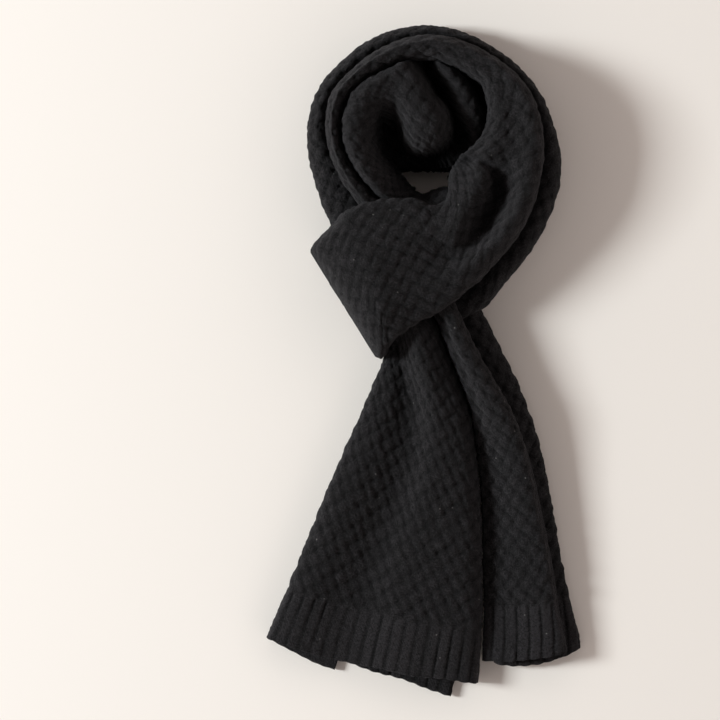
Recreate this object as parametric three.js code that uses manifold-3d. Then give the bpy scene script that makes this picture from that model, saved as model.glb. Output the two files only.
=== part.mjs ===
// Knit scarf laid flat: a doubled scarf whose folded end is passed round the neck loop, with both tails pulled
// through it. Millimetres, +Z up. The scarf lies on the plane z = 0, with the neck loop towards +Y and the ribbed
// ends of the tails towards -Y.
import * as THREE from 'three';
import { mergeVertices } from 'three/addons/utils/BufferGeometryUtils.js';
import Module from 'manifold-3d';

// ---- driving sizes (mm) --------------------------------------------------------------------------------------
const GAP = 0.3;              // clearance between stretches that touch
const PLY = 5.5;              // one layer of the felted knit, and the height of a layer folded under a tail
const LOWER_TOP = 24.3;       // height of the lower strand of the neck loop
const BAND_UNDER = 34.0;      // underside of the strand that crosses the front
const RING_CENTRE = { x: 6.5, y: 177.1 };   // middle of the neck loop
const ORIGIN_SHIFT = { x: -0.1, y: -0.4 }; // puts the origin under the middle of the outline
const SHADE = { cloth: 0x1b191b, deep: 0x171517 };

const wasm = await Module();
wasm.setup();

// ---- the neck loop, as radii about its middle, by angle (degrees, anticlockwise from +X) ----------------------
// outer: outline of the lower strand; seam: outer edge of the upper strand; inner: inner edge of the upper strand
const LOOP = [
  // angle, outer,  seam,  inner
  [ 236, 109.0,  75.0,  59.0],
  [ 225, 106.0,  75.3,  60.8],
  [ 210, 103.5,  77.1,  63.3],
  [ 195, 101.6,  81.0,  67.7],
  [ 180, 104.2,  86.3,  74.2],
  [ 165, 107.3,  92.3,  79.6],
  [ 150, 109.1,  96.4,  82.4],
  [ 135, 107.5,  94.6,  80.4],
  [ 120, 107.6,  94.8,  76.8],
  [ 105, 107.0,  95.3,  76.8],
  [  90, 106.2,  95.7,  74.9],
  [  75, 103.8,  94.0,  71.2],
  [  60, 102.0,  92.7,  66.4],
  [  45, 102.3,  93.6,  61.8],
  [  30, 103.8,  94.5,  53.5],
  [  15, 104.8,  93.8,  42.0],
  [   0, 108.6,  93.1,  30.0],
  [ -15, 111.8,  93.6,  23.6],
  [ -30, 114.1,  96.9,  22.3],
  [ -45, 118.8, 101.7,  22.9],
  [ -60, 126.8, 108.4,  28.3],
  [ -75, 142.2, 120.2,  43.5],
  [ -82, 146.0, 126.0,  50.0],
];
// upper strand: heights at its outer edge, on its outer swell, in the trough and on its inner swell, and where the
// trough lies (fraction of the width from the outer edge)
const UPPER = [
  // angle, zEdge, rEdge, aOut, zOut, aTrough, zTrough, aIn, zIn, zInner, rInner
  [ 236,  31.0, 4.0, 0.40, 32.5, 0.55, 32.4, 0.70, 32.0, 31.0, 4.0],
  [ 225,  34.0, 4.0, 0.40, 36.0, 0.55, 36.0, 0.70, 35.5, 34.0, 4.0],
  [ 210,  36.0, 4.5, 0.40, 39.0, 0.55, 39.0, 0.70, 38.5, 36.5, 4.0],
  [ 195,  37.5, 5.0, 0.40, 41.0, 0.55, 41.0, 0.70, 40.5, 38.0, 4.0],
  [ 180,  38.5, 5.0, 0.40, 42.0, 0.55, 42.2, 0.70, 42.0, 39.0, 4.0],
  [ 150,  40.0, 5.5, 0.40, 44.0, 0.55, 44.4, 0.70, 44.0, 41.0, 4.0],
  [ 120,  41.5, 6.0, 0.40, 46.0, 0.55, 46.6, 0.70, 46.0, 42.5, 4.5],
  [  90,  43.0, 7.0, 0.40, 47.5, 0.55, 48.0, 0.70, 47.5, 44.0, 5.0],
  [  60,  44.0, 8.0, 0.35, 49.0, 0.55, 49.3, 0.75, 48.5, 45.0, 6.0],
  [  30,  45.0, 8.0, 0.30, 50.0, 0.50, 49.2, 0.75, 49.8, 46.0, 6.0],
  [   0,  45.0, 9.0, 0.26, 51.0, 0.45, 47.5, 0.76, 50.0, 42.0, 8.0],
  [ -15,  45.0, 9.0, 0.24, 51.0, 0.46, 42.5, 0.76, 50.5, 39.0, 10.0],
  [ -30,  45.0, 9.0, 0.20, 51.0, 0.37, 35.5, 0.70, 50.5, 38.0, 11.0],
  [ -45,  45.0, 9.0, 0.20, 51.0, 0.34, 34.0, 0.68, 50.0, 38.0, 11.0],
  [ -60,  45.0, 9.0, 0.18, 50.5, 0.33, 38.5, 0.68, 49.0, 39.0, 10.0],
  [ -75,  45.0, 8.0, 0.22, 50.0, 0.42, 46.5, 0.68, 49.0, 41.0, 8.0],
];
// inner ply at the left of the loop: its inner edge and heights
const INNER = [
  // angle, rInner, zEdge, aCrest, zCrest, aMid, zMid, aLow, zLow, zInner
  [ 240,  33.0, 29.0, 0.25, 31.5, 0.50, 29.0, 0.80, 18.0, 12.0],
  [ 225,  31.5, 32.0, 0.25, 36.5, 0.50, 33.0, 0.80, 20.0, 12.0],
  [ 210,  31.5, 38.0, 0.25, 43.0, 0.50, 38.0, 0.80, 21.0, 12.0],
  [ 195,  33.5, 42.0, 0.26, 47.5, 0.50, 43.0, 0.80, 22.0, 12.0],
  [ 180,  38.0, 43.5, 0.28, 49.5, 0.52, 46.0, 0.80, 26.0, 12.0],
  [ 165,  42.5, 44.0, 0.30, 50.0, 0.55, 47.0, 0.80, 30.0, 14.0],
  [ 150,  48.5, 44.0, 0.32, 50.0, 0.58, 48.0, 0.82, 36.0, 20.0],
  [ 135,  55.0, 43.5, 0.35, 49.0, 0.60, 48.0, 0.85, 42.0, 34.0],
  [ 120,  62.0, 42.5, 0.40, 47.5, 0.60, 47.0, 0.85, 44.0, 38.0],
];

// ---- strips given edge to edge: left and right edge points, then heights -------------------------------------
// slack folds over the neck hole, from the back of the loop towards its middle
const FOLD = [
  //  lx,    ly,    rx,    ry,   zl,  a1,  z1 (wide fold), a2, z2 (trough), a3, z3 (narrow fold), zr
  [-30.0, 253.0,  33.0, 250.0,  38.0, 0.26, 44.0, 0.50, 37.0, 0.78, 42.0, 36.0],
  [-37.0, 233.5,  46.0, 231.5,  28.0, 0.33, 46.5, 0.58, 27.0, 0.75, 42.0, 28.0],
  [-37.0, 217.0,  57.0, 217.5,  14.0, 0.36, 48.0, 0.60, 19.0, 0.76, 41.0, 20.0],
  [-36.0, 200.5,  58.0, 201.5,  10.0, 0.38, 47.5, 0.66, 16.0, 0.82, 37.5, 16.0],
  [-32.0, 187.0,  55.0, 187.0,  10.0, 0.44, 45.5, 0.74, 18.0, 0.86, 30.0, 14.0],
  [-31.0, 176.5,  36.0, 178.0,   8.0, 0.44, 33.0, 0.59, 38.0, 0.76, 33.0, 10.0],
  [-27.0, 168.0,  30.0, 169.0,   6.0, 0.48, 19.0, 0.62, 22.0, 0.77, 19.0,  7.0],
  [-18.0, 161.5,  26.0, 162.0,   3.0, 0.45,  5.5, 0.60,  6.0, 0.76,  5.5,  3.0],
];
// strand that crosses the front, from the loop to its fold at the left
const BAND = [
  //  tx,    ty,    bx,    by,   zb,   zt,  rt,  a1,  z1,  a2,  z2,  a3,  z3,  zEdge, rEdge
  [ 17.9, 133.2,  37.3,  60.9, 34.0, 41.0, 8.0, 0.32, 49.0, 0.58, 46.5, 0.78, 50.0, 45.0, 8.0],
  [  6.7, 130.1,  25.4,  50.3, 34.0, 42.0, 8.0, 0.30, 49.0, 0.55, 49.0, 0.78, 50.5, 45.0, 8.0],
  [ -4.1, 134.6,   9.2,  39.3, 34.0, 43.0, 8.0, 0.30, 50.0, 0.55, 51.5, 0.78, 51.0, 45.0, 8.0],
  [-14.9, 136.4,  -3.3,  33.3, 34.0, 43.0, 8.0, 0.30, 50.5, 0.55, 52.5, 0.78, 51.5, 45.0, 8.0],
  [-26.5, 135.5, -14.9,  26.2, 34.0, 43.0, 8.0, 0.30, 51.0, 0.55, 53.0, 0.78, 51.5, 45.0, 8.0],
  [-37.3, 134.7, -22.4,  20.4, 34.0, 43.0, 8.0, 0.30, 51.0, 0.55, 53.0, 0.78, 51.5, 44.5, 8.0],
  [-49.8, 131.8, -26.5,  16.2, 34.0, 43.0, 8.0, 0.30, 50.5, 0.55, 52.5, 0.78, 51.0, 43.5, 8.0],
  [-60.6, 128.0, -28.6,  13.3, 34.0, 42.5, 8.0, 0.30, 50.0, 0.55, 51.5, 0.78, 50.0, 42.0, 8.0],
  [-68.1, 124.7, -29.9,  10.8, 14.0, 41.5, 8.0, 0.30, 48.5, 0.55, 50.0, 0.78, 48.5, 41.0, 8.0],
  [-76.0, 116.8, -30.9,   7.9,  0.0, 38.5, 8.0, 0.30, 45.5, 0.55, 47.0, 0.78, 45.5, 38.5, 8.0],
  [-83.9, 108.1, -32.4,   5.0,  0.0, 34.0, 7.0, 0.30, 39.5, 0.55, 41.0, 0.78, 39.5, 34.0, 7.0],
  [-90.1, 101.4, -35.7,   2.5,  0.6, 28.0, 5.0, 0.30, 32.0, 0.55, 33.0, 0.78, 32.0, 28.0, 5.0],
  [-93.4,  97.1, -38.8,   2.8,  3.5, 21.0, 4.0, 0.30, 24.0, 0.55, 25.0, 0.78, 24.0, 21.0, 4.0],
  [-94.5,  94.0, -40.5,   4.0,  9.5, 15.0, 3.0, 0.30, 16.0, 0.55, 16.5, 0.78, 16.0, 15.0, 3.0],
];
// front tail, top layer: left outline, right edge in the valley between the tails
const TAIL_FRONT = [
  //  lx,    ly,     rx,    ry,    zl,   rl,  a1,  z1 (left panel), a2, z2 (crease), a3, z3 (swell), zr, rr, bow
  [ -28.5,  22.0,    3.5,   43.1, 20.0, 6.0, 0.12, 22.0, 0.16, 24.0, 0.60, 33.0, 24.0, 9.0,  0.0],
  [ -31.5,   8.2,   11.1,   33.0, 12.0, 6.0, 0.14, 14.5, 0.20, 20.0, 0.62, 33.3, 22.0, 9.0,  0.0],
  [ -36.5,  -5.9,   18.9,   10.1, 11.5, 7.0, 0.17, 15.0, 0.32, 19.0, 0.68, 32.0, 20.0, 9.0,  0.0],
  [ -45.3, -26.3,   30.1,  -16.0, 11.5, 8.0, 0.24, 18.5, 0.47, 19.5, 0.72, 30.0, 19.0, 9.0,  0.0],
  [ -54.5, -48.3,   39.4,  -43.1, 11.5, 8.0, 0.28, 20.5, 0.54, 20.5, 0.76, 28.5, 18.5, 9.0,  0.0],
  [ -63.7, -67.8,   43.6,  -71.0, 11.5, 8.0, 0.28, 21.5, 0.59, 22.0, 0.78, 26.5, 18.0, 9.0,  0.0],
  [ -74.3, -92.3,   47.0, -100.5, 11.5, 8.0, 0.28, 21.5, 0.60, 22.8, 0.78, 25.0, 17.5, 9.0,  0.0],
  [ -85.7,-119.4,   48.7, -130.1, 11.5, 8.0, 0.28, 21.0, 0.60, 22.8, 0.78, 23.5, 17.0, 9.0, -1.0],
  [ -96.7,-146.5,   49.1, -158.0, 11.5, 8.0, 0.28, 20.5, 0.60, 22.0, 0.78, 22.3, 16.5, 9.0, -2.0],
  [-106.9,-171.9,   49.5, -185.0, 11.0, 8.0, 0.28, 20.0, 0.60, 21.2, 0.78, 21.3, 16.0, 9.0, -3.0],
  [-117.5,-197.4,   50.0, -210.4, 11.0, 7.5, 0.28, 19.0, 0.60, 20.0, 0.78, 20.0, 15.5, 9.0, -4.0],
  [-126.0,-216.8,   49.0, -240.0, 10.8, 7.0, 0.28, 17.5, 0.60, 18.5, 0.78, 18.5, 14.5, 8.0, -4.0],
  [-133.6,-234.6,   46.6, -272.1, 10.5, 6.0, 0.28, 16.0, 0.60, 17.0, 0.78, 17.0, 13.5, 7.0, -5.5],
];
// layers folded under the front tail from its two sides, which meet under its middle: left edge, right edge
const UNDER_LEFT = [
  [ -28.0,  18.0,  -14.0,   27.0],
  [ -31.0,   7.9,  -14.0,   16.0],
  [ -36.3,  -5.9,  -14.5,   -1.0],
  [ -45.3, -26.3,  -18.0,  -21.0],
  [ -54.5, -48.3,  -22.5,  -45.0],
  [ -63.7, -67.8,  -27.5,  -68.0],
  [ -74.3, -92.4,  -33.5,  -95.5],
  [ -85.8,-119.5,  -40.5, -124.0],
  [ -96.8,-146.7,  -48.0, -152.5],
  [-107.0,-172.1,  -55.5, -179.5],
  [-117.6,-197.6,  -64.5, -207.5],
  [-126.0,-217.1,  -71.0, -234.0],
  [-133.6,-235.2,  -78.0, -261.0],
];
const UNDER_RIGHT = [
  [ -13.5,  26.5,    0.0,   41.5],
  [ -13.5,  15.5,    6.0,   31.0],
  [ -14.0,  -1.5,   13.9,    9.3],
  [ -17.5, -21.5,   24.9,  -17.8],
  [ -22.0, -45.5,   34.2,  -43.2],
  [ -27.0, -68.5,   38.4,  -71.2],
  [ -33.0, -96.0,   41.8, -100.9],
  [ -40.0,-124.5,   43.5, -130.6],
  [ -47.5,-153.0,   43.5, -158.6],
  [ -55.0,-180.0,   42.5, -186.5],
  [ -64.0,-208.0,   39.0, -215.0],
  [ -69.5,-231.5,   31.0, -251.0],
  [ -67.0,-255.0,   23.2, -284.0],
];
// back tail, top layer: left edge in the valley, right edge on the crisp fold
const TAIL_BACK = [
  //  lx,    ly,     rx,    ry,    zb,   zl,  rl,  a1,  z1,  a2,  z2,  a3,  z3,  zr,  rr, bow
  [   4.1,  43.1,   24.5,  50.7, 21.5, 26.0, 6.0, 0.35, 33.0, 0.55, 33.5, 0.75, 32.0, 28.0, 4.0,  0.0],
  [  11.7,  33.0,   31.1,  36.2, 20.8, 26.0, 6.0, 0.35, 33.0, 0.55, 33.6, 0.75, 32.0, 28.0, 4.0,  0.0],
  [  19.9,  10.1,   44.2,   9.3, 19.5, 25.0, 7.0, 0.35, 32.5, 0.55, 32.8, 0.75, 31.0, 27.0, 4.5,  0.0],
  [  30.9, -16.0,   60.2, -18.5, 18.0, 23.0, 7.0, 0.35, 30.5, 0.55, 31.0, 0.75, 29.5, 25.5, 5.0,  0.0],
  [  40.2, -43.1,   74.5, -43.8, 16.5, 21.0, 8.0, 0.35, 28.5, 0.55, 29.0, 0.75, 28.0, 24.0, 5.0,  0.0],
  [  44.4, -71.0,   84.6, -70.7, 15.0, 19.5, 8.0, 0.35, 26.5, 0.55, 27.2, 0.75, 26.5, 22.5, 5.0,  0.0],
  [  47.8,-100.5,   91.8, -99.4, 14.0, 18.5, 8.0, 0.35, 25.0, 0.55, 26.0, 0.75, 25.0, 21.0, 5.0,  0.0],
  [  49.5,-130.1,   98.1,-129.7, 13.0, 17.5, 8.0, 0.35, 23.5, 0.55, 24.5, 0.75, 23.5, 20.0, 5.0,  0.0],
  [  49.9,-158.0,  104.0,-157.5, 12.0, 16.5, 8.0, 0.35, 22.3, 0.55, 23.2, 0.75, 22.0, 19.0, 5.0,  0.0],
  [  50.3,-185.0,  109.0,-184.5, 11.0, 15.5, 8.0, 0.35, 21.0, 0.55, 22.0, 0.75, 20.8, 18.0, 5.0, -0.5],
  [  50.8,-210.4,  113.1,-209.7, 10.0, 14.5, 8.0, 0.35, 19.5, 0.55, 20.5, 0.75, 19.3, 16.8, 5.0, -1.0],
  [  50.0,-234.0,  118.7,-231.0,  9.0, 13.5, 7.0, 0.35, 18.0, 0.55, 18.8, 0.75, 17.8, 15.6, 5.0, -2.5],
  [  49.4,-253.0,  121.2,-244.7,  8.2, 12.5, 6.0, 0.35, 16.5, 0.55, 17.2, 0.75, 16.2, 14.4, 5.0, -4.0],
];
// layer folded under the back tail, which shows to the right of the crisp fold: top height under the upper layer
const BACK_UNDER = [
  //  lx,    ly,     rx,    ry,   zTop, bow
  [  13.8,  43.2,   42.6,   54.1, 21.0,  0.0],
  [  21.4,  33.1,   51.3,   38.7, 20.4,  0.0],
  [  29.9,  10.2,   65.5,    9.8, 19.1,  0.0],
  [  40.9, -16.1,   79.1,  -16.9, 17.6,  0.0],
  [  50.3, -43.2,   89.2,  -42.4, 16.1,  0.0],
  [  54.5, -71.2,   98.1,  -70.3, 14.6,  0.0],
  [  57.9,-100.8,  104.8, -100.0, 13.6,  0.0],
  [  59.6,-130.5,  110.4, -129.7, 12.6,  0.0],
  [  60.0,-158.5,  115.3, -157.6, 11.6,  0.0],
  [  60.4,-185.6,  120.6, -185.6, 10.6,  0.0],
  [  60.9,-211.0,  126.5, -210.5,  9.6, -1.0],
  [  59.6,-234.7,  132.0, -230.0,  8.6, -3.0],
  [  59.6,-255.5,  133.4, -243.4,  7.8, -7.0],
];
// hidden layers under the band: edge points, one rounded solid
const CORE = [
  [ 19.5, 148.0,  35.5,  66.0],
  [  9.0, 145.5,  24.0,  54.3],
  [  0.3, 142.0,   8.6,  43.3],
  [-11.0, 144.0,  -3.7,  37.3],
  [-23.0, 138.0, -15.6,  30.2],
  [-36.0, 130.7, -23.4,  24.4],
  [-49.0, 125.8, -28.5,  20.2],
  [-57.5, 121.0, -32.0,  17.3],
];

// ---- loft of rounded sections -------------------------------------------------------------------------------
const lerp = (a, b, t) => a + (b - a) * t;
// smooth curve through the rows of a table, at row position k (0 .. rows-1)
function rowAt(table, k) {
  const n = table.length, i = Math.min(n - 2, Math.max(0, Math.floor(k))), t = k - i;
  const p0 = table[Math.max(0, i - 1)], p1 = table[i], p2 = table[i + 1], p3 = table[Math.min(n - 1, i + 2)];
  return p1.map((_, c) => 0.5 * (2 * p1[c] + (p2[c] - p0[c]) * t + (2 * p0[c] - 5 * p1[c] + 4 * p2[c] - p3[c]) * t * t
    + (3 * p1[c] - p0[c] - 3 * p2[c] + p3[c]) * t * t * t));
}
// values of a table at a given first column, which falls from row to row
function byAngle(table, angle) {
  let k = 0;
  while (k < table.length - 2 && table[k + 1][0] > angle) k++;
  return rowAt(table, k + Math.min(1, Math.max(0, (table[k][0] - angle) / (table[k][0] - table[k + 1][0]))));
}
// smooth curve through [a, z] knots
function curveAt(knots, a) {
  let i = 0;
  while (i < knots.length - 2 && knots[i + 1][0] < a) i++;
  const t = (a - knots[i][0]) / Math.max(1e-6, knots[i + 1][0] - knots[i][0]);
  const slope = (j) => {
    if (j <= 0) return (knots[1][1] - knots[0][1]) / (knots[1][0] - knots[0][0]);
    if (j >= knots.length - 1) return (knots[j][1] - knots[j - 1][1]) / (knots[j][0] - knots[j - 1][0]);
    return (knots[j + 1][1] - knots[j - 1][1]) / (knots[j + 1][0] - knots[j - 1][0]);
  };
  const h = knots[i + 1][0] - knots[i][0], m0 = slope(i) * h, m1 = slope(i + 1) * h, t2 = t * t, t3 = t2 * t;
  return (2 * t3 - 3 * t2 + 1) * knots[i][1] + (t3 - 2 * t2 + t) * m0 + (-2 * t3 + 3 * t2) * knots[i + 1][1] + (t3 - t2) * m1;
}
// One section: s = { l, r, zb, zl, rl, zr, rr, tops, bow, foot }. The sides are rounded and the underside is flat.
function sectionPoints(s, topSteps, grow) {
  const w = Math.hypot(s.r[0] - s.l[0], s.r[1] - s.l[1]);
  const zb = s.zb - grow;
  const pts = [];
  const arc = 3, foot = s.foot ?? 3;
  const side = (h) => zb + Math.min(0.45 * (h - zb), foot * 1.6);
  const zsL = side(s.zl + grow), zsR = side(s.zr + grow);
  const aL = s.rl, aR = w - s.rr, f = Math.min(foot, 0.3 * w);
  for (let i = 0; i <= arc; i++) {           // left foot, from the underside out to the side
    const t = (i / arc) * Math.PI / 2;
    pts.push([f - (f + grow) * Math.sin(t), zsL - (zsL - zb) * Math.cos(t)]);
  }
  for (let i = 1; i <= arc; i++) {           // left shoulder
    const t = (i / arc) * Math.PI / 2;
    pts.push([aL - (aL + grow) * Math.cos(t), zsL + (s.zl + grow - zsL) * Math.sin(t)]);
  }
  const knots = [[aL, s.zl], ...s.tops.map(([a, z]) => [a * w, z]), [aR, s.zr]];
  for (let i = 1; i < topSteps; i++) {
    const a = lerp(aL, aR, i / topSteps);
    pts.push([a, curveAt(knots, a) + grow]);
  }
  for (let i = 0; i <= arc; i++) {           // right shoulder
    const t = (i / arc) * Math.PI / 2;
    pts.push([aR + (s.rr + grow) * Math.sin(t), zsR + (s.zr + grow - zsR) * Math.cos(t)]);
  }
  for (let i = 1; i <= arc; i++) {           // right foot
    const t = (i / arc) * Math.PI / 2;
    pts.push([w - f + (f + grow) * Math.cos(t), zsR - (zsR - zb) * Math.sin(t)]);
  }
  return { w, pts };
}
function loft(sections, topSteps, grow = 0) {
  const rings = [];
  let flat = null;
  sections.forEach((s, k) => {
    const { w, pts } = sectionPoints(s, topSteps, grow);
    const ux = (s.r[0] - s.l[0]) / w, uy = (s.r[1] - s.l[1]) / w;      // across
    let vx = -uy, vy = ux;                                             // along, against the walk
    const end = k === 0 ? 1 : k === sections.length - 1 ? -1 : 0;
    const next = sections[Math.min(k + 1, sections.length - 1)], prev = sections[Math.max(k - 1, 0)];
    const dx = (next.l[0] + next.r[0] - prev.l[0] - prev.r[0]), dy = (next.l[1] + next.r[1] - prev.l[1] - prev.r[1]);
    if (vx * dx + vy * dy > 0) { vx = -vx; vy = -vy; }
    rings.push(pts.map(([a, z]) => {
      const q = a / w, b = (s.bow ?? 0) * 4 * q * (1 - q);
      return new THREE.Vector3(s.l[0] + ux * a + vx * (end * grow - b), s.l[1] + uy * a + vy * (end * grow - b), z);
    }));
    if (k === 0 || k === sections.length - 1) (flat ??= []).push(pts.map(([a, z]) => new THREE.Vector2(a, z)));
  });
  const n = rings[0].length, pos = [], idx = [];
  rings.forEach((ring) => ring.forEach((p) => pos.push(p.x, p.y, p.z)));
  for (let k = 0; k < rings.length - 1; k++) for (let i = 0; i < n; i++) {
    const j = (i + 1) % n, a = k * n + i, b = k * n + j, c = (k + 1) * n + i, d = (k + 1) * n + j;
    idx.push(a, b, d, a, d, c);
  }
  const cap = (base, outline, flip) => THREE.ShapeUtils.triangulateShape(outline, []).forEach(([a, b, c]) =>
    flip ? idx.push(base + a, base + c, base + b) : idx.push(base + a, base + b, base + c));
  cap(0, flat[0], false);
  cap((rings.length - 1) * n, flat[1], true);
  let g = new THREE.BufferGeometry();
  g.setAttribute('position', new THREE.Float32BufferAttribute(pos, 3));
  g.setIndex(idx);
  g = mergeVertices(g, 1e-4);
  // make the faces point out
  const P = g.attributes.position.array, I = g.index.array;
  let vol = 0;
  for (let t = 0; t < I.length; t += 3) {
    const [a, b, c] = [I[t] * 3, I[t + 1] * 3, I[t + 2] * 3];
    vol += P[a] * (P[b + 1] * P[c + 2] - P[b + 2] * P[c + 1]) + P[a + 1] * (P[b + 2] * P[c] - P[b] * P[c + 2])
      + P[a + 2] * (P[b] * P[c + 1] - P[b + 1] * P[c]);
  }
  if (vol < 0) for (let t = 0; t < I.length; t += 3) { const k = I[t + 1]; I[t + 1] = I[t + 2]; I[t + 2] = k; }
  const solid = new wasm.Manifold(new wasm.Mesh({ numProp: 3, vertProperties: new Float32Array(P), triVerts: new Uint32Array(I) }));
  return solid;
}

// ---- sections of each stretch -------------------------------------------------------------------------------
const rad = Math.PI / 180;
const onLoop = (angle, r) => [RING_CENTRE.x + r * Math.cos(angle * rad), RING_CENTRE.y + r * Math.sin(angle * rad)];
const steps = (from, to, n) => Array.from({ length: n + 1 }, (_, i) => lerp(from, to, i / n));
const rows = (table, n) => steps(0, table.length - 1, n).map((k) => rowAt(table, k));

const ringLower = steps(236, -82, 30).map((angle) => {
  const [, outer, seam, inner] = byAngle(LOOP, angle);
  const reach = Math.min(outer - seam + 1, 15);
  return { l: onLoop(angle, outer), r: onLoop(angle, inner + 1.5), zb: 0, foot: 7, zl: 22.5, rl: reach, zr: LOWER_TOP,
    rr: 3, tops: [[(outer - seam + 3) / (outer - inner), LOWER_TOP], [(outer - seam + 9) / (outer - inner), LOWER_TOP]] };
});
const ringUpper = steps(234, -75, 27).map((angle) => {
  const [, , seam, inner] = byAngle(LOOP, angle);
  const [, zEdge, rEdge, aOut, zOut, aTrough, zTrough, aIn, zIn, zInner, rInner] = byAngle(UPPER, angle);
  return { l: onLoop(angle, seam), r: onLoop(angle, inner), zb: LOWER_TOP + GAP, foot: 3, zl: zEdge, rl: rEdge, zr: zInner,
    rr: rInner, tops: [[aOut, zOut], [aTrough, zTrough], [aIn, zIn]] };
});
const ringInner = steps(240, 120, 14).map((angle) => {
  const [, , , inner] = byAngle(LOOP, angle);
  const [, rIn, zEdge, aCrest, zCrest, aMid, zMid, aLow, zLow, zInner] = byAngle(INNER, angle);
  return { l: onLoop(angle, inner - GAP), r: onLoop(angle, rIn), zb: 0, foot: 2, zl: zEdge, rl: 3.5, zr: zInner,
    rr: 3, tops: [[aCrest, zCrest], [aMid, zMid], [aLow, zLow]] };
});
const ringFold = rows(FOLD, 12).map(([lx, ly, rx, ry, zl, a1, z1, a2, z2, a3, z3, zr]) => (
  { l: [lx, ly], r: [rx, ry], zb: 0, foot: 1, zl, rl: 3, zr, rr: 3, tops: [[a1, z1], [a2, z2], [a3, z3]] }));
const knotBand = rows(BAND, 18).map(([lx, ly, rx, ry, zb, zl, rl, a1, z1, a2, z2, a3, z3, zr, rr]) => (
  { l: [lx, ly], r: [rx, ry], zb: Math.max(0, zb), foot: 4, zl, rl, zr, rr, tops: [[a1, z1], [a2, z2], [a3, z3]] }));
const knotCore = rows(CORE, 7).map(([lx, ly, rx, ry]) => (
  { l: [lx, ly], r: [rx, ry], zb: 0, foot: 2, zl: BAND_UNDER - GAP - 4, rl: 10, zr: BAND_UNDER - GAP, rr: 3,
    tops: [[0.25, BAND_UNDER - GAP], [0.6, BAND_UNDER - GAP]] }));
const tailFront = rows(TAIL_FRONT, 16).map(([lx, ly, rx, ry, zl, rl, a1, z1, a2, z2, a3, z3, zr, rr, bow]) => (
  { l: [lx, ly], r: [rx, ry], zb: PLY + GAP, foot: 2.5, zl, rl, zr, rr, tops: [[a1, z1], [a2, z2], [a3, z3]], bow }));
const [underLeft, underRight] = [UNDER_LEFT, UNDER_RIGHT].map((table) => rows(table, 12).map(([lx, ly, rx, ry]) => (
  { l: [lx, ly], r: [rx, ry], zb: 0, foot: 2.5, zl: PLY, rl: 2.5, zr: PLY, rr: 2.5, tops: [[0.5, PLY]] })));
const tailBack = rows(TAIL_BACK, 16).map(([lx, ly, rx, ry, zb, zl, rl, a1, z1, a2, z2, a3, z3, zr, rr, bow]) => (
  { l: [lx, ly], r: [rx, ry], zb, foot: 2.5, zl, rl, zr, rr, tops: [[a1, z1], [a2, z2], [a3, z3]], bow }));
const backUnder = rows(BACK_UNDER, 14).map(([lx, ly, rx, ry, zTop, bow]) => (
  { l: [lx, ly], r: [rx, ry], zb: 0, foot: 4, zl: zTop, rl: 4, zr: zTop - 1.5, rr: 7, tops: [[0.3, zTop], [0.7, zTop]], bow }));

// ---- pieces: each one is cut back by those before it, so that neighbours keep their gap -----------------------
const PIECES = [
  // name, sections, steps over the top, colour
  ['ring_lower', ringLower, 6, SHADE.deep],
  ['ring_upper', ringUpper, 9, SHADE.cloth],
  ['knot_band', knotBand, 9, SHADE.cloth],
  ['tail_front', tailFront, 10, SHADE.cloth],
  ['tail_back', tailBack, 8, SHADE.cloth],
  ['tail_back_under', backUnder, 4, SHADE.deep],
  ['tail_front_under_left', underLeft, 3, SHADE.deep],
  ['tail_front_under_right', underRight, 3, SHADE.deep],
  ['ring_inner', ringInner, 7, SHADE.cloth],
  ['ring_fold', ringFold, 10, SHADE.cloth],
  ['knot_core', knotCore, 4, SHADE.deep],
];
const overlap = (a, b) => {
  const p = a.boundingBox(), q = b.boundingBox();
  return [0, 1, 2].every((i) => p.min[i] < q.max[i] && q.min[i] < p.max[i]);
};
const group = new THREE.Group();
const cutters = [];
for (const [name, sections, topSteps, colour] of PIECES) {
  let solid = loft(sections, topSteps);
  for (const cutter of cutters) if (overlap(solid, cutter)) solid = solid.subtract(cutter);
  const bodies = solid.decompose().sort((a, b) => b.volume() - a.volume());
  solid = bodies[0];
  cutters.push(loft(sections, topSteps, 2 * GAP));
  const mesh = solid.getMesh();
  let g = new THREE.BufferGeometry();
  g.setAttribute('position', new THREE.BufferAttribute(new Float32Array(mesh.vertProperties), 3));
  g.setIndex(new THREE.BufferAttribute(new Uint32Array(mesh.triVerts), 1));
  g.computeVertexNormals();
  const piece = new THREE.Mesh(g, new THREE.MeshStandardMaterial({ color: colour, roughness: 0.95, metalness: 0 }));
  piece.name = name;
  group.add(piece);
}
group.position.set(-ORIGIN_SHIFT.x, -ORIGIN_SHIFT.y, 0);

export default group;
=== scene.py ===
"""Knit scarf laid flat: neck loop, knot band and two tails with ribbed ends, in a woven cable knit.

Every stretch is a shell of the cloth, worked out from the same short tables as its solid (millimetres, +Z up), with
the knit's blocks and ribs as real relief on its surface.
"""
import math

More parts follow.
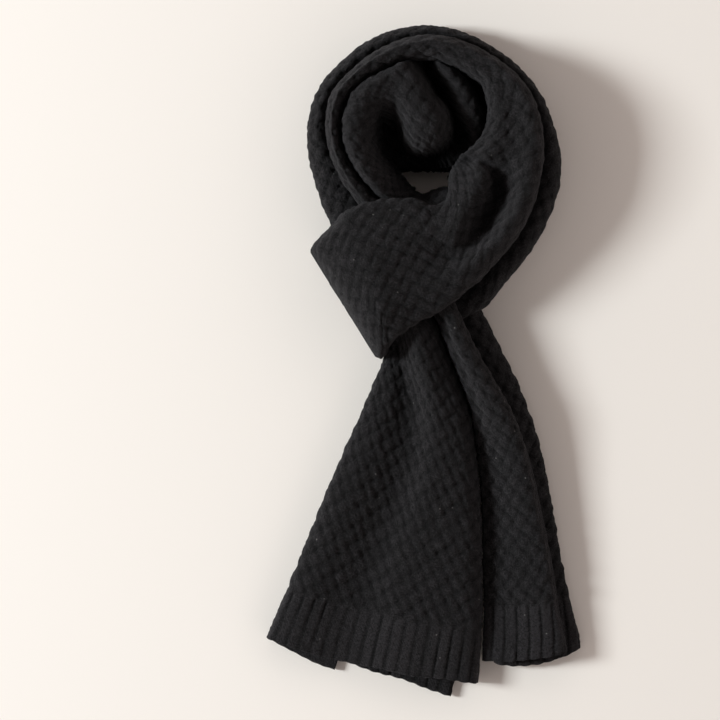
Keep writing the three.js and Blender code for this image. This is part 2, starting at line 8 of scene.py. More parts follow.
import bpy
import numpy as np
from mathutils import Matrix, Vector


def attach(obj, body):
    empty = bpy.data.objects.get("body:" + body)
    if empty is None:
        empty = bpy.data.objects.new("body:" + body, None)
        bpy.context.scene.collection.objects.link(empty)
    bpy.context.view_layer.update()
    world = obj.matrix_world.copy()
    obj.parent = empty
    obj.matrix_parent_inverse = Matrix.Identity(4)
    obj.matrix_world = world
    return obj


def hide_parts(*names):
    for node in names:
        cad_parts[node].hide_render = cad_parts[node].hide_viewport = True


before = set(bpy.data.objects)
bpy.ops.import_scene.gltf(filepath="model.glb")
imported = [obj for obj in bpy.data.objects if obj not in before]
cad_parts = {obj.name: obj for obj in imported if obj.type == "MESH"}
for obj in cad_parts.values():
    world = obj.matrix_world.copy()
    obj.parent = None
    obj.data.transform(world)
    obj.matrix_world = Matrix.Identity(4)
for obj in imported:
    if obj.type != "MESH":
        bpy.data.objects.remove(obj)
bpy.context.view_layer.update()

# ---- sizes (mm) -----------------------------------------------------------------------------------------------
PLY = 4.6                     # one layer of the felted knit
LOWER_TOP = 24.3              # height of the lower strand of the neck loop
RING_CENTRE = (6.5, 177.1)    # middle of the neck loop
ORIGIN_SHIFT = (-0.1, -0.4)   # puts the origin under the middle of the outline
CABLE_ACROSS = 13.6           # pitch of the cable blocks across the strand
CABLE_ROW = 8.75              # height of one row of blocks
CABLE_DEPTH = 2.3             # relief of the blocks
RIB_PITCH = 10.6              # pitch of the ribs at the ends
RIB_DEPTH = 1.5
RIB_LENGTH = 46.0             # how far the ribbed end reaches up the tail
STEP = 1.12  # spacing of the surface points


# ---- curves and tables ----------------------------------------------------------------------------------------
def row_at(table, k):
    """Smooth rows through a table at row positions k (array)."""
    t = np.asarray(table, float)
    n = len(t)
    k = np.asarray(k, float)
    i = np.clip(np.floor(k).astype(int), 0, n - 2)
    f = (k - i)[:, None]
    p0, p1, p2, p3 = (t[np.clip(i + o, 0, n - 1)] for o in (-1, 0, 1, 2))
    return 0.5 * (2 * p1 + (p2 - p0) * f + (2 * p0 - 5 * p1 + 4 * p2 - p3) * f**2 + (3 * p1 - p0 - 3 * p2 + p3) * f**3)


def by_angle(table, angles):
    """Rows of a table whose first column falls from row to row, at the given values of that column."""
    t = np.asarray(table, float)
    return row_at(t, np.interp(-np.asarray(angles, float), -t[:, 0], np.arange(len(t))))


def hermite(xk, zk, x):
    """Smooth curve through knots, a row of knots for each section: xk, zk (n, m), x (n, s)."""
    d = np.diff(zk, axis=1) / np.maximum(np.diff(xk, axis=1), 1e-6)
    m = np.zeros_like(zk)
    m[:, 0], m[:, -1] = d[:, 0], d[:, -1]
    m[:, 1:-1] = (zk[:, 2:] - zk[:, :-2]) / np.maximum(xk[:, 2:] - xk[:, :-2], 1e-6)
    out = np.empty_like(x)
    for r in range(len(x)):
        i = np.clip(np.searchsorted(xk[r], x[r]) - 1, 0, xk.shape[1] - 2)
        h = xk[r][i + 1] - xk[r][i]
        t = (x[r] - xk[r][i]) / np.maximum(h, 1e-6)
        out[r] = ((2 * t**3 - 3 * t**2 + 1) * zk[r][i] + (t**3 - 2 * t**2 + t) * m[r][i] * h
                  + (-2 * t**3 + 3 * t**2) * zk[r][i + 1] + (t**3 - t**2) * m[r][i + 1] * h)
    return out


def resample(line, n, dims=3):
    """n points evenly along each row's polyline, measured in its first dims columns: line (rows, m, columns)."""
    seg = np.linalg.norm(np.diff(line[:, :, :dims], axis=1), axis=2)
    acc = np.concatenate([np.zeros((len(line), 1)), np.cumsum(seg, axis=1)], axis=1)
    out = np.empty((len(line), n, line.shape[2]))
    for r in range(len(line)):
        s = np.linspace(0, acc[r, -1], n)
        for c in range(line.shape[2]):
            out[r, :, c] = np.interp(s, acc[r], line[r, :, c])
    return out


def smooth_along(grid, times, axis):
    """Soft running mean along an axis, ends kept."""
    g = grid.copy()
    for _ in range(times):
        a = np.swapaxes(g, 0, axis)
        a[1:-1] = 0.25 * a[:-2] + 0.5 * a[1:-1] + 0.25 * a[2:]
        g = np.swapaxes(a, 0, axis)
    return g


# ---- the neck loop, as radii about its middle, by angle (degrees, anticlockwise from +X) ----------------------
LOOP = [
    # angle, outer, seam, inner
    (236, 109.0, 75.0, 59.0), (225, 106.0, 75.3, 60.8), (210, 103.5, 77.1, 63.3), (195, 101.6, 81.0, 67.7),
    (180, 104.2, 86.3, 74.2), (165, 107.3, 92.3, 79.6), (150, 109.1, 96.4, 82.4), (135, 107.5, 94.6, 80.4),
    (120, 107.6, 94.8, 76.8), (105, 107.0, 95.3, 76.8), (90, 106.2, 95.7, 74.9), (75, 103.8, 94.0, 71.2),
    (60, 102.0, 92.7, 68.8), (52, 102.1, 93.1, 68.0), (45, 102.3, 93.6, 63.0), (30, 103.8, 94.5, 53.5), (15, 104.8, 93.8, 42.0),
    (0, 108.6, 93.1, 30.0), (-15, 111.8, 93.6, 23.6), (-30, 114.1, 96.9, 22.3), (-45, 118.8, 101.7, 22.9),
    (-60, 126.8, 108.4, 28.3), (-75, 142.2, 120.2, 43.5), (-82, 146.0, 126.0, 50.0),
]
UPPER = [
    # angle, zEdge, rEdge, aOut, zOut, aTrough, zTrough, aIn, zIn, zInner, rInner
    (236, 31.0, 3.0, 0.35, 33.5, 0.55, 32.5, 0.75, 31.0, 29.0, 3.0),
    (225, 35.0, 3.0, 0.35, 37.0, 0.55, 36.0, 0.75, 34.5, 32.5, 3.0),
    (210, 38.0, 3.5, 0.35, 40.0, 0.55, 39.0, 0.75, 37.5, 35.0, 3.0),
    (195, 39.5, 4.0, 0.35, 42.0, 0.55, 41.0, 0.75, 39.5, 36.5, 3.0),
    (180, 40.5, 4.0, 0.35, 43.5, 0.55, 42.5, 0.75, 40.5, 37.5, 3.0),
    (150, 42.0, 4.5, 0.35, 45.5, 0.55, 44.5, 0.75, 42.5, 39.0, 3.0),
    (120, 43.5, 5.0, 0.35, 47.5, 0.55, 46.5, 0.75, 44.5, 41.0, 3.5),
    (90, 45.0, 5.0, 0.33, 49.0, 0.55, 48.0, 0.77, 47.0, 43.5, 4.0),
    (60, 47.0, 4.5, 0.24, 50.5, 0.52, 48.5, 0.78, 47.0, 43.0, 4.5),
    (30, 48.0, 3.5, 0.17, 51.5, 0.48, 47.5, 0.78, 46.5, 42.0, 5.0),
    (0, 48.0, 3.5, 0.16, 52.0, 0.45, 46.0, 0.76, 46.0, 39.0, 8.0),
    (-15, 48.0, 4.0, 0.18, 52.0, 0.46, 39.5, 0.76, 47.5, 38.0, 10.0),
    (-30, 47.0, 4.5, 0.17, 51.5, 0.37, 30.0, 0.66, 48.0, 38.0, 11.0),
    (-45, 46.0, 6.0, 0.17, 50.5, 0.34, 28.5, 0.64, 47.5, 38.0, 11.0),
    (-60, 45.0, 7.0, 0.16, 49.5, 0.33, 32.0, 0.66, 47.0, 39.0, 10.0),
    (-75, 45.0, 8.0, 0.22, 49.5, 0.42, 41.0, 0.68, 48.5, 41.0, 8.0),
]
INNER = [
    # angle, rInner, zEdge, aCrest, zCrest, aMid, zMid, aLow, zLow, zInner
    (240, 33.0, 33.0, 0.18, 33.0, 0.50, 26.0, 0.80, 17.0, 12.0),
    (225, 31.5, 37.0, 0.18, 38.0, 0.50, 31.0, 0.80, 19.0, 12.0),
    (210, 31.5, 42.0, 0.18, 43.5, 0.50, 37.0, 0.80, 21.0, 12.0),
    (195, 33.5, 45.0, 0.18, 47.0, 0.50, 41.0, 0.80, 22.0, 12.0),
    (180, 38.0, 46.5, 0.20, 48.5, 0.52, 43.5, 0.80, 25.0, 12.0),
    (165, 42.5, 46.5, 0.22, 49.0, 0.55, 44.5, 0.80, 28.0, 14.0),
    (150, 48.5, 46.0, 0.24, 49.0, 0.58, 45.0, 0.82, 34.0, 20.0),
    (135, 55.0, 45.5, 0.27, 48.5, 0.60, 46.0, 0.85, 41.0, 35.0),
    (120, 62.0, 44.5, 0.35, 47.5, 0.60, 46.5, 0.85, 44.0, 40.0),
    (108, 66.0, 43.0, 0.40, 46.0, 0.60, 46.0, 0.85, 44.0, 41.0),
]
# rounded folds that hang into the opening: middle x, y, half-width, height
TONGUE = [(-28.0, 258.0, 16.0, 45.0), (-22.0, 245.0, 19.0, 47.0), (-12.5, 226.0, 21.5, 48.5), (-6.0, 212.0, 21.0, 48.5)]
NARROW_FOLD = [(12.0, 254.0, 8.0, 38.0), (19.0, 245.0, 10.0, 37.5), (31.5, 227.0, 12.0, 36.0), (41.5, 206.0, 11.5, 32.0),
               (46.5, 189.0, 7.0, 25.0)]
CORE = [
    # wall under the knot: edge at the opening, edge under the band
    (19.5, 148.0, 35.5, 66.0), (9.0, 145.5, 24.0, 54.3), (0.3, 142.0, 8.6, 43.3), (-11.0, 144.0, -3.7, 37.3),
    (-23.0, 138.0, -15.6, 30.2), (-36.0, 130.7, -23.4, 24.4), (-49.0, 125.8, -28.5, 20.2), (-57.5, 121.0, -32.0, 17.3),
]
BAND = [
    # tx, ty, bx, by, zb, zt, rt, a1, z1, a2, z2, a3, z3, zEdge, rEdge
    (17.9, 133.2, 37.3, 60.9, 30.0, 40.0, 8.0, 0.32, 46.0, 0.58, 38.0, 0.78, 49.0, 45.0, 8.0),
    (6.7, 130.1, 25.4, 50.3, 32.0, 41.0, 8.0, 0.30, 45.5, 0.55, 41.0, 0.78, 47.5, 44.0, 8.0),
    (-4.1, 134.6, 9.2, 39.3, 34.0, 41.5, 8.0, 0.30, 46.0, 0.55, 44.0, 0.78, 47.5, 44.0, 8.0),
    (-14.9, 136.4, -3.3, 33.3, 34.0, 42.0, 8.0, 0.30, 47.0, 0.55, 46.5, 0.78, 48.0, 44.5, 8.0),
    (-26.5, 135.5, -14.9, 26.2, 34.0, 42.5, 8.0, 0.30, 48.5, 0.55, 49.0, 0.78, 49.5, 45.0, 8.0),
    (-37.3, 134.7, -22.4, 20.4, 34.0, 43.0, 7.0, 0.30, 49.5, 0.55, 51.0, 0.78, 51.0, 45.0, 7.0),
    (-49.8, 131.8, -26.5, 16.2, 34.0, 43.5, 7.0, 0.30, 50.5, 0.55, 53.0, 0.78, 52.0, 45.0, 7.0),
    (-60.6, 128.0, -28.6, 13.3, 30.0, 43.5, 7.0, 0.30, 51.0, 0.55, 53.0, 0.78, 52.0, 44.0, 7.0),
    (-68.1, 124.7, -29.9, 10.8, 12.0, 43.5, 7.0, 0.30, 50.0, 0.55, 52.0, 0.78, 51.0, 44.0, 7.0),
    (-76.0, 116.8, -30.9, 7.9, 0.5, 42.5, 8.0, 0.30, 48.5, 0.55, 50.0, 0.78, 49.0, 42.5, 8.0),
    (-83.9, 108.1, -32.4, 5.0, 0.5, 40.0, 7.0, 0.30, 45.5, 0.55, 46.5, 0.78, 46.0, 40.0, 7.0),
    (-91.0, 101.2, -35.7, 2.5, 1.5, 35.0, 6.0, 0.30, 39.5, 0.55, 40.5, 0.78, 39.5, 35.0, 5.0),
    (-94.4, 95.6, -38.8, 2.8, 5.0, 27.0, 5.0, 0.30, 30.0, 0.55, 31.0, 0.78, 30.0, 27.0, 4.0),
    (-95.3, 91.4, -40.5, 4.0, 11.0, 16.5, 2.5, 0.30, 17.5, 0.55, 17.6, 0.78, 17.5, 16.5, 1.5),
]
TAIL_FRONT = [
    # lx, ly, rx, ry, zl, rl, a1, z1 (left panel), a2, z2 (crease), a3, z3 (swell), zr, rr, bow
    (-28.5, 22.0, 3.5, 43.1, 18.0, 6.0, 0.19, 18.5, 0.24, 20.0, 0.55, 35.0, 30.0, 9.0, 0.0),
    (-31.5, 8.2, 11.1, 33.0, 15.0, 6.0, 0.20, 15.5, 0.28, 17.5, 0.54, 35.0, 30.0, 9.5, 0.0),
    (-36.5, -5.9, 18.9, 10.1, 15.0, 6.0, 0.22, 16.0, 0.33, 15.5, 0.56, 33.0, 29.0, 10.0, 0.0),
    (-45.3, -26.3, 30.1, -16.0, 16.0, 6.0, 0.22, 18.0, 0.43, 14.5, 0.62, 31.0, 26.5, 13.5, 0.0),
    (-54.5, -48.3, 39.4, -43.1, 17.0, 6.0, 0.20, 19.5, 0.48, 14.5, 0.64, 29.0, 26.0, 15.5, 0.0),
    (-63.7, -67.8, 43.6, -71.0, 17.5, 6.0, 0.18, 20.5, 0.50, 14.5, 0.65, 27.0, 25.5, 17.0, 0.0),
    (-74.3, -92.3, 47.0, -100.5, 17.5, 6.0, 0.16, 20.5, 0.48, 14.0, 0.63, 25.5, 24.5, 18.0, 0.0),
    (-85.7, -119.4, 48.7, -130.1, 17.5, 6.0, 0.14, 20.5, 0.45, 13.5, 0.60, 24.0, 23.5, 18.5, -1.0),
    (-96.7, -146.5, 49.1, -158.0, 17.0, 6.0, 0.12, 20.0, 0.41, 12.5, 0.57, 22.5, 22.5, 18.5, -2.0),
    (-106.9, -171.9, 49.5, -185.0, 16.5, 6.0, 0.11, 19.5, 0.39, 12.0, 0.55, 21.0, 21.5, 18.0, -3.0),
    (-117.5, -197.4, 50.0, -210.4, 16.0, 6.0, 0.10, 18.5, 0.39, 11.5, 0.55, 19.5, 20.0, 17.0, -4.0),
    (-126.0, -216.8, 49.0, -240.0, 15.0, 6.0, 0.10, 17.5, 0.39, 11.0, 0.55, 18.0, 18.0, 15.5, -4.0),
    (-133.6, -234.6, 46.6, -272.1, 13.5, 6.0, 0.10, 16.0, 0.39, 10.5, 0.55, 16.5, 16.5, 13.5, -5.5),
]
# how far the cloth runs on under the tail from its left fold and from its rolled right edge (mm)
FRONT_TURN = [(14, 14), (17, 14), (22, 14), (27, 14), (32, 14), (37, 14), (42, 14), (46, 14), (50, 14), (53, 14),
              (55, 13), (57, 12), (58, 11)]
UNDER_RIGHT = [
    # layer folded under the middle of the front tail: left edge, right edge
    (-13.5, 26.5, 0.0, 41.5), (-13.5, 15.5, 6.0, 31.0), (-14.0, -1.5, 13.9, 9.3), (-17.5, -21.5, 24.9, -17.8),
    (-22.0, -45.5, 34.2, -43.2), (-27.0, -68.5, 38.4, -71.2), (-33.0, -96.0, 41.8, -100.9),
    (-40.0, -124.5, 43.5, -130.6), (-47.5, -153.0, 43.5, -158.6), (-55.0, -180.0, 42.5, -186.5),
    (-64.0, -208.0, 39.0, -215.0), (-69.5, -231.5, 31.0, -251.0), (-67.0, -255.0, 23.2, -284.0),
]
TAIL_BACK = [
    # lx, ly, rx, ry, zb, zl, rl, a1, z1, a2, z2, a3, z3, zr, rr, bow
    (4.1, 43.1, 24.5, 50.7, 21.5, 28.0, 5.0, 0.35, 35.0, 0.55, 36.0, 0.75, 35.0, 32.0, 3.5, 0.0),
    (11.7, 33.0, 31.1, 36.2, 20.8, 28.0, 5.0, 0.35, 35.0, 0.55, 36.0, 0.75, 35.0, 32.0, 3.5, 0.0),
    (19.9, 10.1, 44.2, 9.3, 19.5, 27.0, 6.0, 0.35, 34.0, 0.55, 35.0, 0.75, 34.0, 31.0, 3.5, 0.0),
    (30.9, -16.0, 60.2, -18.5, 18.0, 24.0, 6.0, 0.34, 31.0, 0.55, 33.0, 0.75, 32.5, 29.5, 3.5, 0.0),
    (40.2, -43.1, 74.5, -43.8, 16.5, 20.0, 6.0, 0.33, 28.0, 0.55, 31.0, 0.76, 31.0, 28.0, 3.5, 0.0),
    (44.4, -71.0, 84.6, -70.7, 15.0, 13.5, 6.0, 0.32, 18.5, 0.56, 25.0, 0.77, 27.5, 26.0, 3.5, 0.0),
    (47.8, -100.5, 91.8, -99.4, 14.0, 10.5, 6.0, 0.32, 15.0, 0.58, 22.0, 0.78, 25.0, 24.0, 3.5, 0.0),
    (49.5, -130.1, 98.1, -129.7, 13.0, 8.5, 6.0, 0.32, 12.5, 0.58, 19.5, 0.78, 23.0, 22.5, 3.5, 0.0),
    (49.9, -158.0, 104.0, -157.5, 12.0, 7.5, 6.0, 0.31, 11.5, 0.56, 17.5, 0.78, 21.0, 21.0, 3.5, 0.0),
    (50.3, -185.0, 109.0, -184.5, 11.0, 7.0, 6.0, 0.30, 11.0, 0.54, 16.0, 0.78, 19.5, 19.5, 3.5, -0.5),
    (50.8, -210.4, 113.1, -209.7, 10.0, 7.0, 6.0, 0.29, 11.0, 0.53, 15.5, 0.78, 18.5, 18.0, 3.5, -1.0),
    (50.0, -234.0, 118.7, -231.0, 9.0, 7.5, 5.0, 0.28, 11.0, 0.52, 15.0, 0.78, 17.5, 16.8, 3.5, -2.5),
    (49.4, -253.0, 121.2, -244.7, 8.2, 9.0, 4.0, 0.30, 14.0, 0.52, 16.8, 0.78, 17.6, 16.0, 3.5, -4.0),
]
BACK_UNDER = [
    # lx, ly, rx, ry, zTop, bow
    (13.8, 43.2, 42.6, 54.1, 17.0, 0.0), (21.4, 33.1, 51.3, 38.7, 16.5, 0.0), (29.9, 10.2, 65.5, 9.8, 15.5, 0.0),
    (40.9, -16.1, 79.1, -16.9, 14.0, 0.0), (50.3, -43.2, 89.2, -42.4, 13.0, 0.0), (54.5, -71.2, 98.1, -70.3, 12.0, 0.0),
    (57.9, -100.8, 104.8, -100.0, 11.0, 0.0), (59.6, -130.5, 110.4, -129.7, 10.2, 0.0),
    (60.0, -158.5, 115.3, -157.6, 9.6, 0.0), (60.4, -185.6, 120.6, -185.6, 9.0, 0.0),
    (60.9, -211.0, 126.5, -210.5, 8.4, -1.0), (59.6, -234.7, 132.0, -230.0, 8.0, -3.0),
    (59.6, -255.5, 133.4, -243.4, 7.4, -7.0),
]


# ---- sections -------------------------------------------------------------------------------------------------
class Stations:
    """Sections of one stretch: edge points and heights, a row for each station."""

    def __init__(self, l, r, zb, zl, rl, zr, rr, tops, foot, bow=None):
        n = len(l)
        col = lambda v: np.broadcast_to(np.asarray(v, float), (n,)).astype(float)
        self.l, self.r = np.asarray(l, float), np.asarray(r, float)
        self.zb, self.zl, self.rl, self.zr, self.rr, self.foot = map(col, (zb, zl, rl, zr, rr, foot))
        self.bow = col(0 if bow is None else bow)
        self.tops = np.asarray(tops, float)          # (n, knots, 2): fraction, height
        self.w = np.linalg.norm(self.r - self.l, axis=1)

    def top_line(self, m, fine=40):
        """The rounded top from the left side's widest point to the right's: (n, m, 2) of across and height."""
        w, half = self.w[:, None], np.linspace(0, np.pi / 2, 14)
        zs = [self.zb + np.minimum(0.45 * (z - self.zb), self.foot * 1.6) for z in (self.zl, self.zr)]
        aL, aR = self.rl, self.w - self.rr
        left = np.stack([aL[:, None] - self.rl[:, None] * np.cos(half), zs[0][:, None] + (self.zl - zs[0])[:, None] * np.sin(half)], 2)
        xk = np.concatenate([aL[:, None], self.tops[:, :, 0] * w, aR[:, None]], 1)
        zk = np.concatenate([self.zl[:, None], self.tops[:, :, 1], self.zr[:, None]], 1)
        x = aL[:, None] + (aR - aL)[:, None] * np.linspace(0, 1, fine)[1:-1]
        top = np.stack([x, hermite(xk, zk, x)], 2)
        right = np.stack([aR[:, None] + self.rr[:, None] * np.sin(half), zs[1][:, None] + (self.zr - zs[1])[:, None] * np.cos(half)], 2)
        line = np.concatenate([left, top, right], 1)
        line = smooth_along(line, 6, 1)
        return line, zs

    def place(self, section):
        """Sections (n, m, 2) of across and height to points (n, m, 3)."""
        u = (self.r - self.l) / self.w[:, None]
        mid = 0.5 * (self.l + self.r)
        d = np.gradient(mid, axis=0)
        v = np.stack([-u[:, 1], u[:, 0]], 1)
        v *= np.sign((v * d).sum(1))[:, None]          # along the walk
        q = section[:, :, 0] / self.w[:, None]
        b = -self.bow[:, None] * 4 * np.clip(q * (1 - q), 0, 1)
        if section.shape[2] > 2:
            b = b + section[:, :, 2]
        xy = self.l[:, None] + u[:, None] * section[:, :, 0:1] + v[:, None] * b[:, :, None]
        return np.concatenate([xy, section[:, :, 1:2]], 2)


def on_loop(angles, r):
    a = np.radians(angles)
    return np.stack([RING_CENTRE[0] + r * np.cos(a), RING_CENTRE[1] + r * np.sin(a)], 1)


def tops(*pairs):
    return np.stack([np.stack([np.asarray(a, float), np.asarray(z, float)], 1) for a, z in pairs], 1)


# ---- relief ---------------------------------------------------------------------------------------------------
def hashed(i, j, k=0):
    """A steady pseudo-random number from 0 to 1 for each pair of whole numbers."""
    x = np.sin(np.asarray(i) * 127.1 + np.asarray(j) * 311.7 + k * 74.7) * 43758.5453
    return x - np.floor(x)


def wobble(x, y, seed, scale):
    """Smooth noise from -1 to 1."""
    x, y = x / scale, y / scale
    i, j = np.floor(x), np.floor(y)
    fx, fy = x - i, y - j
    fx, fy = fx * fx * (3 - 2 * fx), fy * fy * (3 - 2 * fy)
    a, b, c, d = (hashed(i + p, j + q, seed) for p, q in ((0, 0), (1, 0), (0, 1), (1, 1)))
    return 2 * ((a * (1 - fx) + b * fx) * (1 - fy) + (c * (1 - fx) + d * fx) * fy) - 1


def cables(u, v):
    """Woven cable knit: slanting strands that pass over and under each other. Returns height 0..1 and stitch coordinates."""
    P, Q = CABLE_ACROSS, CABLE_ROW
    u = u + 0.9 * wobble(u, v, 3, 34.0)
    v = v + 0.8 * wobble(u, v, 5, 31.0)
    slope = math.atan2(2 * Q, P)
    best = np.full(u.shape, -1.0)
    p_at, q_at, tone = np.zeros(u.shape), np.zeros(u.shape), np.zeros(u.shape)
    row = np.floor(v / Q + 0.5)
    for dr in (-1, 0, 1):
        k = row + dr
        even = np.mod(k, 2) == 0
        off = np.where(even, 0.0, 0.5)
        c0 = np.floor(u / P - off + 0.5)
        for dc in (-1, 0, 1):
            c = c0 + dc
            du, dv = u - (c + off) * P, v - k * Q
            s = np.where(even, 1.0, -1.0)
            tilt = slope + 0.10 * (hashed(c, k, 11) - 0.5)
            along = du * np.cos(tilt) * s + dv * np.sin(tilt)
            across = -du * np.sin(tilt) + dv * np.cos(tilt) * s
            long = 8.1 * (1 + 0.08 * (hashed(c, k, 12) - 0.5))
            wide = 5.2 * (1 + 0.10 * (hashed(c, k, 13) - 0.5))
            body = np.clip(1 - np.abs(across / wide) ** 2.2, 0, 1) ** 0.55
            arch = np.clip(1 - np.abs(along / long) ** 2.1, 0, 1) ** 0.65
            h = body * (0.12 + 0.88 * arch) * (np.abs(along) < long * 1.2) * (0.90 + 0.20 * (hashed(c, k, 14) - 0.5))
            take = h > best
            best = np.where(take, h, best)
            p_at, q_at = np.where(take, along, p_at), np.where(take, across, q_at)
            tone = np.where(take, hashed(c, k, 15), tone)
    return np.clip(best, 0.05, 1), p_at, q_at, tone


def ribs(u):
    """Flat columns with narrow grooves between them."""
    x = np.mod(u / RIB_PITCH, 1.0)
    x = np.abs(x - 0.5) * 2                      # 1 in the groove, 0 on the column's middle
    return (1 - x**5) ** 0.8, (np.mod(u / RIB_PITCH, 1.0) - 0.5) * RIB_PITCH


def knit(u, v, rib_u=None, rib_v=None):
    """Relief in mm and the attributes that the material reads, at fabric coordinates (mm)."""
    h, p, q, tone = cables(u, v)
    depth = CABLE_DEPTH * h
    if rib_v is not None:
        edge = RIB_LENGTH + 2.0 * wobble(u, v * 0, 8, 20.0)
        mix = np.clip((rib_v - edge) / 5.0 + 0.5, 0, 1)
        mix = mix * mix * (3 - 2 * mix)
        rh, rq = ribs(rib_u + 0.9 * wobble(rib_u, rib_v * 0.4, 51, 23.0))
        rh = rh * (1 + 0.16 * wobble(rib_u, rib_v * 0, 52, RIB_PITCH))
        h = mix * h + (1 - mix) * rh
        depth = mix * depth + (1 - mix) * RIB_DEPTH * rh
        p, q = np.where(mix > 0.5, p, rib_v), np.where(mix > 0.5, q, rq)
        tone = mix * tone + (1 - mix) * 0.5
    depth = depth + 0.30 * wobble(u, v, 21, 3.3) + 0.30 * wobble(u, v, 22, 2.1)
    return depth, h, p, q, tone


# ---- meshes ---------------------------------------------------------------------------------------------------
def normals(P, at):
    """Unit normals of a grid (n, m, 3), turned so that the one at the place at faces up, and whether quads are turned."""
    n = np.cross(np.gradient(P, axis=0), np.gradient(P, axis=1))
    n = n / np.maximum(np.linalg.norm(n, axis=2, keepdims=True), 1e-9)
    up = n[at][2] > 0
    return (n if up else -n), up


def arc(P, axis):
    d = np.linalg.norm(np.diff(P, axis=axis), axis=2)
    z = np.zeros_like(np.take(d, [0], axis))
    return np.concatenate([z, np.cumsum(d, axis=axis)], axis)


def make(name, grids, nodes):
    """One mesh from grids: each is (points (n, m, 3), attribute arrays, flip)."""
    verts, faces, att = [], [], {k: [] for k in ("knit_p", "knit_q", "knit_h", "knit_tone", "knit_u", "knit_v")}
    base = 0
    for P, values, extra in grids:
        n, m = P.shape[:2]
        i = np.arange(n * m).reshape(n, m)
        quad = np.stack([i[:-1, :-1], i[:-1, 1:], i[1:, 1:], i[1:, :-1]], 2).reshape(-1, 4)
        if extra.get("flip"):
            quad = quad[:, ::-1]
        faces.append(quad + base)
        verts.append(P.reshape(-1, 3))
        for k in att:
            att[k].append(np.broadcast_to(values.get(k, 0.0), (n, m)).reshape(-1))
        base += n * m
    V = np.concatenate(verts)
    V = (V + np.array([-ORIGIN_SHIFT[0], -ORIGIN_SHIFT[1], 0.0])) * 0.001
    F = np.concatenate(faces)
    return V, F, {k: np.concatenate(v) for k, v in att.items()}, name, nodes


def build(V, F, att, name, nodes, material):
    me = bpy.data.meshes.new(name)
    me.vertices.add(len(V))
    me.vertices.foreach_set("co", V.astype(np.float32).ravel())
    me.loops.add(F.size)
    me.loops.foreach_set("vertex_index", F.astype(np.int32).ravel())
    me.polygons.add(len(F))
    me.polygons.foreach_set("loop_start", np.arange(0, F.size, F.shape[1], dtype=np.int32))
    me.polygons.foreach_set("loop_total", np.full(len(F), F.shape[1], dtype=np.int32))
    me.polygons.foreach_set("use_smooth", np.ones(len(F), dtype=bool))
    for k, a in att.items():
        me.attributes.new(k, "FLOAT", "POINT").data.foreach_set("value", a.astype(np.float32))
    me.update(calc_edges=True)
    me.validate()
    o = bpy.data.objects.new(name, me)
    bpy.context.scene.collection.objects.link(o)
    me.materials.append(material)
    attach(o, "root")
    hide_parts(*nodes)
    return o


def stitch(F_list, a, b):
    """Quads between two rows of vertex numbers."""
    F_list.append(np.stack([a[:-1], b[:-1], b[1:], a[1:]], 1))


def thick_strip(name, P, u, v, rib, nodes, ply=PLY, back_relief=0.35):
    """A cloth wall: knit face on the grid P (n along, m across), a plain back face one ply behind it, and its rims."""
    rib_u, rib_v = rib
    down = P[0] - P[2]
    down = down / np.maximum(np.linalg.norm(down, axis=1, keepdims=True), 1e-6)
    wavy = 0.32 * np.cos(2 * np.pi * rib_u[0] / RIB_PITCH + np.pi) + 1.3 * wobble(rib_u[0], rib_u[0] * 0, 41, 26.0)
    near = np.clip(1 - rib_v / 16.0, 0, 1) ** 2
    P = P + near[:, :, None] * wavy[None, :, None] * down[None]
    N, turned = normals(P, (P.shape[0] // 2, int(P.shape[1] * 0.6)))
    depth, h, p, q, tone = knit(u, v, rib_u, rib_v)
    face = P + N * (depth - CABLE_DEPTH * 0.5)[:, :, None]
    back = smooth_along(smooth_along(P - N * (ply - CABLE_DEPTH * 0.5 - back_relief * depth)[:, :, None], 2, 0), 2, 1)
    n, m = P.shape[:2]
    V, F, att, *_ = make(name, [
        (face, dict(knit_p=p, knit_q=q, knit_h=h, knit_tone=tone, knit_u=u, knit_v=v), {"flip": turned}),
        (back, dict(knit_p=p, knit_q=q, knit_h=0.55 + 0.45 * h, knit_tone=tone, knit_u=u + 3.0, knit_v=v), {"flip": not turned}),
    ], nodes)
    i = np.arange(n * m).reshape(n, m)
    j = i + n * m
    rims = []
    stitch(rims, i[0], j[0])
    stitch(rims, j[-1], i[-1])
    stitch(rims, j[:, 0], i[:, 0])
    stitch(rims, i[:, -1], j[:, -1])
    if turned:
        rims = [r[:, ::-1] for r in rims]
    F = np.concatenate([F] + rims)
    return V, F, att, name, nodes


# ---- the front strand: round the loop on top, then across the front to its fold at the left ---------------------
def even_rows(make_stations, n_guess, spacing):
    """Re-spaces stations evenly by the length of their middle line."""
    k = np.linspace(0, 1, n_guess)
    s = make_stations(k)
    mid = 0.5 * (s.l + s.r)
    d = np.concatenate([[0], np.cumsum(np.linalg.norm(np.diff(mid, axis=0), axis=1))])
    n = max(8, int(d[-1] / spacing))
    return np.interp(np.linspace(0, d[-1], n), d, k), d[-1]


def front_table():
    """One table for the whole strand: outer edge, inner edge, heights."""
    out = []
    for row in UPPER:
        a = row[0]
        _, outer, seam, inner = by_angle(LOOP, [a])[0]
        o, i = on_loop([a], np.array([seam]))[0], on_loop([a], np.array([inner]))[0]
        _, ze, re, ao, zo, at, zt, ai, zi, zin, rin = row
        out.append([*o, *i, 23.0, ze, re, ao, zo, at, zt, ai, zi, zin, rin, 3.0])
    for row in BAND[1:]:
        tx, ty, bx, by, zb, zt, rt, a1, z1, a2, z2, a3, z3, ze, re = row
        out.append([bx, by, tx, ty, zb, ze, re, 1 - a3, z3, 1 - a2, z2, 1 - a1, z1, zt, rt, 4.0])
    return np.array(out)


